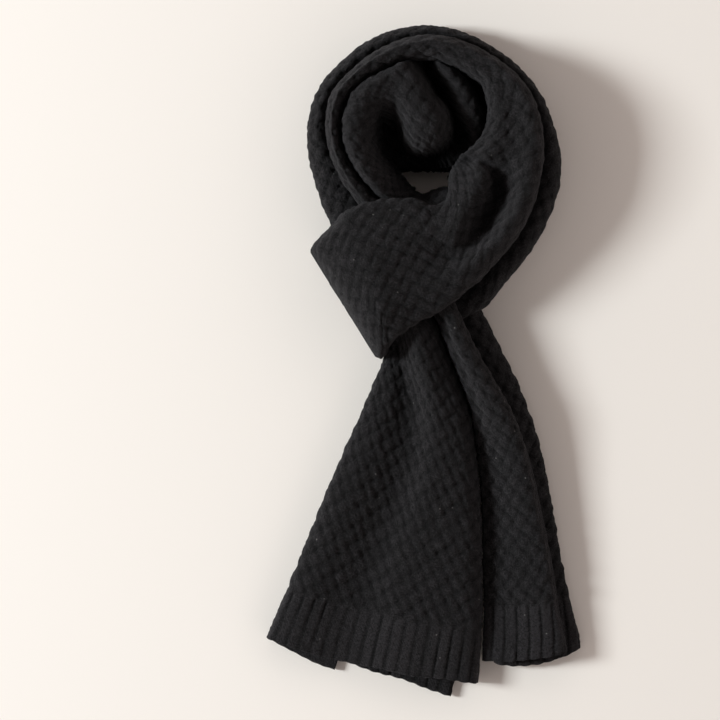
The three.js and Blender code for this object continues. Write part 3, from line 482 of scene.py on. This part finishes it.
def front_stations(k):
    """k from 0 (tucked end at the lower left) to 1 (the fold at the left)."""
    T = front_table()
    n_loop = len(UPPER)
    pos = k * (len(T) - 1)
    r = row_at(T, pos)
    l, rr_ = r[:, 0:2].copy(), r[:, 2:4].copy()
    # on the loop the edges follow the loop's own radii, which turn between the rows
    on = pos < n_loop - 1
    ang = np.interp(pos, np.arange(n_loop), [row[0] for row in UPPER])
    L = by_angle(LOOP, ang)
    lo, li = on_loop(ang, L[:, 2]), on_loop(ang, L[:, 3])
    l[on], rr_[on] = lo[on], li[on]
    return Stations(l, rr_, r[:, 4], r[:, 5], r[:, 6], r[:, 13], r[:, 14],
                    tops((r[:, 7], r[:, 8]), (r[:, 9], r[:, 10]), (r[:, 11], r[:, 12])), r[:, 15])


def capped(P, outward=3.2):
    """Rounds both ends of a run of closed sections off to a point."""
    def cap(edge, inner):
        c = edge.mean(0)
        d = c - inner.mean(0)
        d = d / max(np.linalg.norm(d), 1e-6)
        return [c + (edge - c) * f + d * g * outward for f, g in ((0.93, 0.45), (0.72, 0.85), (0.36, 1.0), (0.03, 1.02))]
    a, b = cap(P[0], P[2]), cap(P[-1], P[-3])
    return np.concatenate([np.array(a[::-1]), P, np.array(b)])


def closed_shell(name, st, across, nodes, u_mid=0.5, under=12, v_shift=0.0, fan=None, cap=3.2, shape=None):
    """A tube of cloth on rounded sections: the top and sides carry the knit, the hidden underside is plain with a slit."""
    line, zs = st.top_line(0)
    # feet: from the underside out to the widest point of each side
    half = np.linspace(0, np.pi / 2, 8)
    f = np.minimum(st.foot, 0.3 * st.w)[:, None]
    zsl, zsr = zs[0][:, None], zs[1][:, None]
    lfoot = np.stack([f - f * np.sin(half), zsl - (zsl - st.zb[:, None]) * np.cos(half)], 2)[:, :-1]
    rfoot = np.stack([st.w[:, None] - f + f * np.cos(half), zsr - (zsr - st.zb[:, None]) * np.sin(half)], 2)[:, 1:]
    skin = smooth_along(resample(np.concatenate([lfoot, line, rfoot], 1), across), 2, 1)
    P = st.place(skin)
    if shape is not None:
        P = shape(P)
    u = arc(P, 1)
    u = u - u[:, [int(across * u_mid)]]
    mid = P[:, int(across * u_mid)]
    s = np.concatenate([[0], np.cumsum(np.linalg.norm(np.diff(mid, axis=0), axis=1))])
    v = np.broadcast_to((s - s[-1])[:, None], u.shape)
    if fan is not None:                              # from here on every column is measured along itself
        own = np.linalg.norm(np.diff(P, axis=0), axis=2)
        w = np.clip((v[1:] + fan) / 40.0, 0, 1)
        step = w * own + (1 - w) * np.diff(s)[:, None]
        v = np.concatenate([np.zeros((1, v.shape[1])), np.cumsum(step, axis=0)])
        v = v - v[-1, int(across * u_mid)]
    v = v + v_shift
    N, turned = normals(P, (len(P) // 2, across // 2))
    depth, h, p, q, tone = knit(u, v)
    fade = np.clip((P[:, :, 2] - st.zb[:, None]) / 4.0, 0, 1)
    face = P + N * ((depth - CABLE_DEPTH * 0.55) * fade)[:, :, None]
    face[:, :, 2] = np.maximum(face[:, :, 2], 0.2)
    # underside, from the right foot back to a slit beside the left foot
    t = np.linspace(0, 1, under)[None, 1:, None]
    a, b = face[:, -1][:, None], face[:, 0][:, None]
    gap = 0.6 / np.maximum(np.linalg.norm(b - a, axis=2, keepdims=True), 1.0)
    bottom = a + (b - a) * t * (1 - gap)
    P = capped(np.concatenate([face, bottom], 1), cap)
    pad = lambda x, fill: np.pad(np.concatenate([x, np.full((len(x), under - 1), fill)], 1), ((4, 4), (0, 0)), mode="edge")
    vals = dict(knit_p=pad(p, 0.0), knit_q=pad(q, 0.0), knit_h=pad(h, 0.6), knit_tone=pad(tone, 0.5),
                knit_u=pad(u, 0.0), knit_v=pad(v, 0.0))
    return make(name, [(P, vals, {"flip": turned})], nodes)


def front_strand():
    k, length = even_rows(front_stations, 900, STEP)
    def bulb(P):
        """A rounded bulb where the strand turns across the front, with a crease round its upper right."""
        x, y = P[:, :, 0] - 38.5, P[:, :, 1] - 148.0
        d, a = np.hypot(x, y), np.arctan2(y, x)
        up = np.clip((P[:, :, 2] - 28.0) / 10.0, 0, 1)
        side = np.clip(np.cos(a - 0.95) * 1.3 + 0.1, 0, 1)
        P = P.copy()
        P[:, :, 2] += up * (1.6 * np.exp(-(d / 12.5) ** 2) - 5.0 * side * np.exp(-((d - 20.0) / 4.2) ** 2))
        return P

    return closed_shell("front_strand", front_stations(k), 132, ["ring_upper", "knot_band"], u_mid=0.5,
                        fan=165.0, cap=1.0, shape=bulb)


def loop_lower():
    def st(k):
        ang = 236 + (-82 - 236) * k
        L = by_angle(LOOP, ang)
        outer, seam, inner = L[:, 1], L[:, 2], L[:, 3]
        w = outer - inner
        shown = outer - seam
        high = np.clip((ang - 165.0) / 25.0, 0, 1)
        return Stations(on_loop(ang, outer), on_loop(ang, inner + 1.5), 0.3, 21.5, np.minimum(0.35 * shown, 6.0), LOWER_TOP - 4, 3.0,
                        tops((0.52 * shown / w, 23.8 + 0 * w), (0.84 * shown / w, 22.0 + 1.8 * high), ((shown + 1.5) / w, 18.5 + 4.5 * high),
                             ((shown + 9) / w, LOWER_TOP - 4 + 0 * w)), 7.0)
    k, length = even_rows(st, 900, STEP)
    return closed_shell("loop_lower", st(k), 104, ["ring_lower"], u_mid=0.25, v_shift=3.0)


def blend_max(a, b, soft):
    """Larger of two heights, blended where they are close."""
    d = np.clip(0.5 + 0.5 * (a - b) / soft, 0, 1)
    return b + (a - b) * d + soft * d * (1 - d)


def inner_height(x, y):
    """Height of the cloth inside the neck loop: the inner strand's curl, and the wide fold that hangs in from the top.
    Below zero where there is none."""
    flat_x, flat_y = x.ravel(), y.ravel()
    dx, dy = flat_x - RING_CENTRE[0], flat_y - RING_CENTRE[1]
    ang = np.degrees(np.arctan2(dy, dx))
    ang = np.where(ang < -100, ang + 360, ang)
    r = np.hypot(dx, dy)
    L, I = by_angle(LOOP, np.clip(ang, -82, 236)), by_angle(INNER, np.clip(ang, 108, 240))
    r0, r1 = L[:, 3] - 0.4, I[:, 1]
    w = np.maximum(r0 - r1, 4.0)
    xi = (r0 - r)
    curl = section_height(xi, w, I[:, 2], 4.5, np.stack([I[:, 3], I[:, 5], I[:, 7]], 1), np.stack([I[:, 4], I[:, 6], I[:, 8]], 1), I[:, 9], 3.5)
    side = np.clip((ang - 100) / 16.0, 0, 1) * np.clip((252 - ang) / 6.0, 0, 1)
    curl = np.where(side > 0, curl * side - 6 * (1 - side), -6.0)
    wide_fold = blend_max(capsules(flat_x, flat_y, TONGUE), tongue_end(flat_x, flat_y), 10.0)
    narrow = capsules(flat_x, flat_y, NARROW_FOLD)
    rise = np.clip((flat_y - 199.0) / 24.0, 0, 1)         # the hollow between the two is shallow at the top of the loop
    rise = rise * rise * (3 - 2 * rise) * np.clip((-2.0 - flat_x) / 14.0, 0, 1)
    floor_ = np.where(flat_y > 161.0, 9.0 * np.clip((flat_y - 161.0) / 3.0, 0, 1) + 35.5 * rise, -6.0)
    fold = blend_max(blend_max(wide_fold, narrow, 3.0), floor_, 5.0)
    edge = np.clip((r0 - r) / 2.2, 0, 1)                  # rounds down beside the strand round it
    h = blend_max(curl, fold, 6.0)
    h = np.where(h > 0, h * (0.80 + 0.20 * np.sqrt(1 - (1 - edge) ** 2)), h)
    mix = np.clip((curl - fold) / 8.0 + 0.5, 0, 1)
    return h.reshape(x.shape), r0.reshape(x.shape), r.reshape(x.shape), mix.reshape(x.shape)


def tongue_end(x, y):
    """Height of the blunt, rounded end of the wide fold."""
    dx, dy = x - 1.5, y - 199.0
    e = (np.abs((0.98 * dx + 0.20 * dy) / 24.0) ** 2.6 + np.abs((0.20 * dx - 0.98 * dy) / 26.0) ** 2.6) ** (1 / 2.6)
    return np.where(e < 1, 48.5 * np.clip(1 - np.minimum(e, 1) ** 2.4, 0, 1) ** 0.5, -6.0)


def capsules(x, y, rows_):
    """Height of a rounded ridge along a bent line with a changing half-width, below zero beyond it."""
    best = np.full(x.shape, -6.0)
    for (ax, ay, ar, ah), (bx, by, br, bh) in zip(rows_[:-1], rows_[1:]):
        dx, dy = bx - ax, by - ay
        t = np.clip(((x - ax) * dx + (y - ay) * dy) / (dx * dx + dy * dy), 0, 1)
        e = np.hypot(x - ax - t * dx, y - ay - t * dy) / (ar + (br - ar) * t)
        z = (ah + (bh - ah) * t) * np.clip(1 - np.minimum(e, 1) ** 2.5, 0, 1) ** 0.5
        best = np.maximum(best, np.where(e < 1, z, -6.0))
    return best


def section_height(x, w, zl, rl, ak, zk, zr, rr):
    """Height of a rounded section at distance x from its left edge, below zero outside it."""
    xs = np.concatenate([np.full((len(x), 1), 0.0) + rl, ak * w[:, None], (w - rr)[:, None]], 1)
    zs = np.concatenate([zl[:, None], zk, zr[:, None]], 1)
    z = hermite(xs, zs, np.clip(x, rl, np.maximum(w - rr, rl + 0.1))[:, None])[:, 0]
    left = np.sqrt(np.clip(1 - ((rl - x) / rl) ** 2, 0, 1))
    right = np.sqrt(np.clip(1 - ((x - (w - rr)) / rr) ** 2, 0, 1))
    z = np.where(x < rl, z * (0.5 + 0.5 * left), np.where(x > w - rr, z * (0.5 + 0.5 * right), z))
    return np.where((x < 0) | (x > w), -6.0, z)


def loop_inside():
    """The curl of the inner strand and the wide fold beside it, one surface from under the front strand to the opening."""
    c = np.array([2.0, 158.0])
    angles = np.radians(np.arange(236, -12, -0.72))
    r = np.arange(2, 120, 0.5)
    x = c[0] + np.cos(angles)[:, None] * r[None]
    y = c[1] + np.sin(angles)[:, None] * r[None]
    h, r0, rc, _ = inner_height(x, y)
    rays = []
    for a in range(len(angles)):
        out = np.where(rc[a] > r0[a] + 2.0)[0]
        hi = out[0] if len(out) else len(r) - 1
        on = np.where(h[a, :hi] > 0.5)[0]
        lo = on[0] if len(on) else max(0, hi - 4)
        z = np.maximum(h[a, lo:hi + 1], 0.4)
        # the edge of the opening falls to the floor
        foot_r = np.array([r[lo] - 0.2, r[lo] - 0.1])
        foot = np.stack([c[0] + np.cos(angles[a]) * foot_r, c[1] + np.sin(angles[a]) * foot_r, np.array([0.3, z[0] * 0.5 + 0.3])], 1)
        line = np.concatenate([foot, np.stack([x[a, lo:hi + 1], y[a, lo:hi + 1], z], 1)])
        rays.append(resample(line[None], 400)[0])
    P = smooth_along(smooth_along(np.array(rays), 3, 0), 12, 1)
    P = resample(P, 120)
    N, turned = normals(P, (len(P) // 2, P.shape[1] - 12))
    # the knit runs round with the curl and down with the wide fold
    px, py = P[:, :, 0], P[:, :, 1]
    _, r0, rc, mix = inner_height(px, py)
    turn = np.arctan2(py - RING_CENTRE[1], px - RING_CENTRE[0])
    turn = np.where(turn < -1.8, turn + 2 * np.pi, turn)
    steep = P[:, :, 2]
    one = knit((r0 - rc) * 1.25 - 0.5 * steep, -turn * 78.0)
    side = np.tanh((px + 12.0 - (226.0 - py) * 0.42) / 9.0)
    drop = np.minimum(steep - 46.5, 0.0)
    two = knit(px + 0.25 * py - 0.8 * drop * side, py + 0.5 * drop)
    w = mix * mix * (3 - 2 * mix)
    depth, h_, p, q, tone = (w * i + (1 - w) * j for i, j in zip(one, two))
    u, v = px, py
    face = P + N * (depth - CABLE_DEPTH * 0.55)[:, :, None]
    face[:, :, 2] = np.maximum(face[:, :, 2], 0.2)
    return make("loop_inside", [(face, dict(knit_p=p, knit_q=q, knit_h=h_, knit_tone=tone, knit_u=u, knit_v=v), {"flip": turned})],
                ["ring_inner", "ring_fold"])


def knot_wall():
    def st(k):
        r = row_at(CORE, k * (len(CORE) - 1))
        return Stations(r[:, 0:2], r[:, 2:4], 0.3, 15.0, 4.0, 33.0, 3.0,
                        tops((0 * k + 0.22, 0 * k + 27.0), (0 * k + 0.6, 0 * k + 33.5)), 2.0)
    k, length = even_rows(st, 300, STEP * 1.4)
    return closed_shell("knot_wall", st(k), 90, ["knot_core"], u_mid=0.3)


def tail_grid(st, turn, rolls, hem=None):
    """A tail's sections: from the inner end of its left turn, round the left fold, over the top, round the right edge.
    hem is how far the left turn's hem runs past the top's, for each section."""
    (tl, tr), (zl, zr) = turn, rolls
    line, _ = st.top_line(0)
    n = len(line)
    # the left fold: from the widest point down to the cloth that runs back under the tail
    half = np.linspace(0, np.pi / 2, 8)[1:]
    w = st.w[:, None]
    a0, z0 = line[:, :1, 0], line[:, :1, 1]
    a1, z1 = line[:, -1:, 0], line[:, -1:, 1]
    zl, zr = zl[:, None], zr[:, None]
    fl, fr = 4.5, 4.5
    lf = np.stack([a0 + fl * (1 - np.cos(half)), z0 - (z0 - zl) * np.sin(half)], 2)[:, ::-1]
    rf = np.stack([a1 - fr * (1 - np.cos(half)), z1 - (z1 - zr) * np.sin(half)], 2)
    t = np.linspace(1, 0, 14)[None, :-1]
    lt = np.stack([a0 + fl + tl[:, None] * t, zl + 0 * t + 0 * a0], 2)
    tt = np.linspace(0, 1, 8)[None, 1:]
    rt = np.stack([a1 - fr - tr[:, None] * tt, zr + 0 * tt + 0 * a1], 2)
    sec = np.concatenate([lt, lf, line, rf, rt], 1)
    shift = np.zeros(sec.shape[:2] + (1,))
    if hem is not None:
        shift[:, :13, 0] = hem[:, None] * (0.08 + 0.92 * t)
        shift[:, 13:20, 0] = hem[:, None] * 0.08 * np.linspace(1, 0, 7)[None]
    return np.concatenate([sec, shift], 2)


def tail_front():
    T = np.array([list(r) + list(f) for r, f in zip(TAIL_FRONT, FRONT_TURN)])

    def st(k):
        r = row_at(T, k * (len(T) - 1))
        return Stations(r[:, 0:2], r[:, 2:4], 0.6, r[:, 4], r[:, 5], r[:, 12], r[:, 13],
                        tops((r[:, 6], r[:, 7]), (r[:, 8], r[:, 9]), (r[:, 10], r[:, 11]), (0.80 + 0 * k, r[:, 12] + 1.0)), 3.4, r[:, 14])
    k, length = even_rows(st, 500, STEP * 1.1)
    s = st(k)
    f = row_at(T, k * (len(T) - 1))
    past = 10.5 * np.clip((k - 0.70) / 0.30, 0, 1) ** 2
    sec = tail_grid(s, (f[:, 15], f[:, 16]), (np.full(len(k), 1.2), np.full(len(k), 1.4)), past)
    sec = resample(sec, 186, 2)
    sec = smooth_along(sec, 3, 1)
    P = s.place(sec)
    # the left turn's hem slants back from the fold
    P = P[::-1]                                     # from the hem up to the knot
    u = arc(P, 1)
    top = int(0.62 * u.shape[1])
    u = u - u[:, [top]]
    v = arc(P, 0)
    W = (u[:, -1] - u[:, 0])[:, None]
    fan = u / W * (0.35 * W[0] + 0.65 * W)          # columns spread a little towards the hem
    rib_u = u / W * W[0]
    return thick_strip("tail_front_cloth", P, fan, v + 0.30 * fan, (rib_u, v), ["tail_front", "tail_front_under_left"])


def tail_front_inner():
    def st(k):
        r = row_at(UNDER_RIGHT, k * (len(UNDER_RIGHT) - 1))
        return Stations(r[:, 0:2], r[:, 2:4], 0.4, 5.2, 2.4, 5.2, 2.4, tops((0 * k + 0.35, 0 * k + 5.4), (0 * k + 0.65, 0 * k + 5.4)), 2.4)
    k, length = even_rows(st, 400, STEP * 1.5)
    s = st(k)
    line, _ = s.top_line(0)
    sec = resample(line, 80)
    P = s.place(sec)[::-1]
    u, v = arc(P, 1), arc(P, 0)
    return thick_strip("tail_front_inner", P, u, v, (u / u[:, -1:] * u[0, -1], v), ["tail_front_under_right"], ply=4.0)


def tail_back():
    def st(k):
        r = row_at(TAIL_BACK, k * (len(TAIL_BACK) - 1))
        return Stations(r[:, 0:2], r[:, 2:4], np.clip(np.minimum(r[:, 4] - 3, r[:, 5] - 5), 1.5, None), r[:, 5], r[:, 6], r[:, 13], r[:, 14],
                        tops((r[:, 7], r[:, 8]), (r[:, 9], r[:, 10]), (r[:, 11], r[:, 12])), 3.0, r[:, 15])
    k, length = even_rows(st, 500, STEP * 1.08)
    s = st(k)
    f = row_at(TAIL_BACK, k * (len(TAIL_BACK) - 1))
    sec = tail_grid(s, (np.full(len(k), 12.0), np.full(len(k), 16.0)), (np.clip(np.minimum(f[:, 4] - 6.0, f[:, 5] - 8.0), 1.3, None), f[:, 4] + 0.5))
    sec = resample(sec, 126, 2)
    sec = smooth_along(sec, 3, 1)
    P = s.place(sec)[::-1]
    u = arc(P, 1)
    u = u - u[:, [int(0.5 * u.shape[1])]]
    v = arc(P, 0)
    W = (u[:, -1] - u[:, 0])[:, None]
    return thick_strip("tail_back_cloth", P, u / W * (0.3 * W[0] + 0.7 * W), v + 4.0, (u / W * W[0], v), ["tail_back"])


def tail_back_inner():
    def st(k):
        r = row_at(BACK_UNDER, k * (len(BACK_UNDER) - 1))
        return Stations(r[:, 0:2], r[:, 2:4], 0.4, r[:, 4], 4.0, r[:, 4] - 1.5, 7.0,
                        tops((0 * k + 0.3, r[:, 4]), (0 * k + 0.7, r[:, 4])), 4.0, r[:, 5])
    k, length = even_rows(st, 500, STEP * 1.08)
    s = st(k)
    sec = tail_grid(s, (np.full(len(k), 2.0), np.full(len(k), 30.0)), (np.full(len(k), 1.2), np.full(len(k), 1.2)))
    sec = resample(sec, 116, 2)
    sec = smooth_along(sec, 3, 1)
    P = s.place(sec)[::-1]
    u = arc(P, 1)
    u = u - u[:, [int(0.6 * u.shape[1])]]
    v = arc(P, 0)
    W = (u[:, -1] - u[:, 0])[:, None]
    return thick_strip("tail_back_inner", P, u / W * (0.3 * W[0] + 0.7 * W), v + 9.0, (u / W * W[0], v), ["tail_back_under"])


# ---- material -------------------------------------------------------------------------------------------------
def nodes_of(mat):
    mat.use_nodes = True
    nt = mat.node_tree
    nt.nodes.clear()
    return nt


def knit_material():
    mat = bpy.data.materials.new("knit_wool")
    nt = nodes_of(mat)
    N, L = nt.nodes, nt.links

    def node(kind, **sets):
        n = N.new(kind)
        for k, val in sets.items():
            if k in n.inputs:
                n.inputs[k].default_value = val
            else:
                setattr(n, k, val)
        return n

    def attr(name):
        return node("ShaderNodeAttribute", attribute_name=name).outputs["Fac"]

    def math_(op, a, b=None, clamp=False):
        n = node("ShaderNodeMath", operation=op, use_clamp=clamp)
        for slot_, val in ((0, a), (1, b)):
            if val is None:
                continue
            if isinstance(val, (int, float)):
                n.inputs[slot_].default_value = val
            else:
                L.new(val, n.inputs[slot_])
        return n.outputs[0]

    out = node("ShaderNodeOutputMaterial")
    bsdf = node("ShaderNodeBsdfPrincipled")
    L.new(bsdf.outputs[0], out.inputs[0])
    p, q, h, tone = attr("knit_p"), attr("knit_q"), attr("knit_h"), attr("knit_tone")
    coord = node("ShaderNodeTexCoord").outputs["Object"]

    def noise(scale, detail=4.0, rough=0.6):
        n = node("ShaderNodeTexNoise", Scale=scale, Detail=detail, Roughness=rough)
        L.new(coord, n.inputs["Vector"])
        return n.outputs["Fac"]

    # yarn: V-shaped stitches along each block or rib
    wob = math_("MULTIPLY", math_("SUBTRACT", noise(700.0, 2.0), 0.5), 2.2)
    qq = math_("ADD", q, wob)
    col = math_("PINGPONG", qq, 1.25)                                   # stitch columns 2.5 mm wide
    vee = math_("SINE", math_("MULTIPLY", math_("ADD", p, math_("MULTIPLY", col, 1.3)), 2 * math.pi / 3.0))
    groove = math_("SINE", math_("MULTIPLY", col, math.pi / 1.25))
    stitches = math_("ADD", math_("MULTIPLY", vee, 0.35), math_("MULTIPLY", groove, 0.65))
    fuzz = noise(1500.0, 6.0, 0.8)
    felt = noise(620.0, 4.0, 0.75)
    cloud = noise(38.0, 3.0, 0.55)

    # colour: near black, cool; painted highlight on the tops of the blocks and ribs and painted shade in the grooves
    # between them, with the yarn's own random tone, felt and fibres on top
    ramp = node("ShaderNodeValToRGB")
    cr = ramp.color_ramp
    cr.elements[0].position, cr.elements[0].color = 0.0, (0.0011, 0.0011, 0.0013, 1)
    cr.elements[1].position, cr.elements[1].color = 1.0, (0.0185, 0.0168, 0.0190, 1)
    mid = cr.elements.new(0.55)
    mid.color = (0.0046, 0.0042, 0.0048, 1)
    # painted shade and highlight: darker where a block or rib is low, lighter on its top; the rest is the yarn's own
    # random tone, felt and fibres
    painted_shade_and_yarn_tone = math_("ADD", math_("MULTIPLY", math_("POWER", h, 1.5), 0.74), math_("MULTIPLY", math_("SUBTRACT", tone, 0.5), 0.12))
    painted_shade_and_yarn_tone = math_("ADD", painted_shade_and_yarn_tone, math_("MULTIPLY", math_("SUBTRACT", felt, 0.5), 3.2))
    painted_shade_and_yarn_tone = math_("ADD", painted_shade_and_yarn_tone, math_("MULTIPLY", math_("SUBTRACT", fuzz, 0.5), 0.9))
    painted_shade_and_yarn_tone = math_("ADD", painted_shade_and_yarn_tone, math_("MULTIPLY", math_("SUBTRACT", cloud, 0.5), 0.22))
    painted_shade_and_yarn_tone = math_("ADD", painted_shade_and_yarn_tone, math_("MULTIPLY", stitches, 0.05))
    for scale, weight in ((430.0, 0.60), (610.0, 0.45)):                # loose curly fibres
        near = math_("ABSOLUTE", math_("SUBTRACT", noise(scale, 1.5, 0.5), 0.5))
        fibre = math_("SUBTRACT", 1.0, math_("MULTIPLY", near, 24.0), clamp=True)
        painted_shade_and_yarn_tone = math_("ADD", painted_shade_and_yarn_tone, math_("MULTIPLY", fibre, weight))
    painted_shade_and_yarn_tone = math_("ADD", painted_shade_and_yarn_tone, -0.13, clamp=True)
    L.new(painted_shade_and_yarn_tone, ramp.inputs[0])
    # a few pale hairs and specks of lint
    vor = node("ShaderNodeTexVoronoi", Scale=190.0)
    L.new(coord, vor.inputs["Vector"])
    rare = node("ShaderNodeTexWhiteNoise")
    L.new(vor.outputs["Position"], rare.inputs["Vector"])
    speck = math_("MULTIPLY", math_("LESS_THAN", vor.outputs["Distance"], 0.11), math_("GREATER_THAN", rare.outputs["Value"], 0.955))
    mix = node("ShaderNodeMix", data_type="RGBA")
    L.new(math_("MULTIPLY", speck, 0.55), mix.inputs[0])
    L.new(ramp.outputs[0], mix.inputs[6])
    mix.inputs[7].default_value = (0.20, 0.19, 0.19, 1)
    L.new(mix.outputs[2], bsdf.inputs["Base Color"])

    rough = math_("ADD", 0.86, math_("MULTIPLY", math_("SUBTRACT", felt, 0.5), 0.14), clamp=True)
    L.new(rough, bsdf.inputs["Roughness"])
    bsdf.inputs["Specular IOR Level"].default_value = 0.12
    bsdf.inputs["Sheen Weight"].default_value = 0.06
    bsdf.inputs["Sheen Roughness"].default_value = 0.55
    bsdf.inputs["Sheen Tint"].default_value = (0.86, 0.83, 0.90, 1)

    height = math_("ADD", math_("MULTIPLY", stitches, 0.30), math_("MULTIPLY", felt, 0.9))
    height = math_("ADD", height, math_("MULTIPLY", fuzz, 0.7))
    bump = node("ShaderNodeBump", Strength=1.0, Distance=0.0011)
    L.new(height, bump.inputs["Height"])
    L.new(bump.outputs[0], bsdf.inputs["Normal"])
    return mat


# ---- build ----------------------------------------------------------------------------------------------------
wool = knit_material()
for maker in (front_strand, loop_lower, loop_inside, knot_wall, tail_front, tail_front_inner, tail_back, tail_back_inner):
    V, F, att, name, nodes = maker()
    build(V, F, att, name, nodes, wool)
    print(name, len(V), "points", 2 * len(F), "triangles")


# ---- floor, light and camera ----------------------------------------------------------------------------------
bpy.ops.mesh.primitive_plane_add(size=14, location=(0, 0, -0.0004))
floor = bpy.context.object
floor.name = "floor"
fm = bpy.data.materials.new("floor")
nt = nodes_of(fm)
o_ = nt.nodes.new("ShaderNodeOutputMaterial")
b_ = nt.nodes.new("ShaderNodeBsdfPrincipled")
b_.inputs["Base Color"].default_value = (0.86, 0.81, 0.78, 1)
b_.inputs["Roughness"].default_value = 0.9
b_.inputs["Specular IOR Level"].default_value = 0.1
nt.links.new(b_.outputs[0], o_.inputs[0])
floor.data.materials.append(fm)


def lamp(name, azimuth, elevation, distance, size, power, colour):
    """A soft square lamp. azimuth is where it stands, in degrees anticlockwise from +X."""
    data = bpy.data.lights.new(name, "AREA")
    data.shape, data.size, data.energy, data.color = "SQUARE", size, power, colour
    o = bpy.data.objects.new(name, data)
    a, e = math.radians(azimuth), math.radians(elevation)
    o.location = Vector((math.cos(a) * math.cos(e), math.sin(a) * math.cos(e), math.sin(e))) * distance
    o.rotation_mode = "QUATERNION"
    o.rotation_quaternion = (-o.location).to_track_quat("-Z", "Y")
    bpy.context.scene.collection.objects.link(o)
    return o


lamp("key", 175, 25, 4.6, 0.98, 298, (0.935, 1.0, 0.99))
world = bpy.data.worlds.new("world")
bpy.context.scene.world = world
world.use_nodes = True
wt = world.node_tree
bg = wt.nodes["Background"]
where = wt.nodes.new("ShaderNodeTexCoord")
apart = wt.nodes.new("ShaderNodeSeparateXYZ")
sky = wt.nodes.new("ShaderNodeValToRGB")      # soft light from the room's walls, little from straight above
wt.links.new(where.outputs["Generated"], apart.inputs[0])
wt.links.new(apart.outputs["Z"], sky.inputs[0])
sky.color_ramp.elements[0].position, sky.color_ramp.elements[0].color = 0.0, (1.0, 0.90, 0.84, 1)
sky.color_ramp.elements[1].position, sky.color_ramp.elements[1].color = 0.70, (0.013, 0.012, 0.011, 1)
e = sky.color_ramp.elements.new(0.42)
e.color = (1.0, 0.90, 0.84, 1)
wt.links.new(sky.outputs[0], bg.inputs[0])
bg.inputs[1].default_value = 1.45

cam = bpy.data.cameras.new("camera")
cam.sensor_width, cam.lens = 36.0, 117.6
camera = bpy.data.objects.new("camera", cam)
camera.location = (-0.05398 - ORIGIN_SHIFT[0] * 0.001, 0.00085 - ORIGIN_SHIFT[1] * 0.001, 2.0)
camera.rotation_euler = (0, 0, 0)
cam.clip_start, cam.clip_end = 0.05, 50
bpy.context.scene.collection.objects.link(camera)
bpy.context.scene.camera = camera
bpy.context.scene.view_settings.view_transform = "Standard"
bpy.context.scene.view_settings.look = "None"
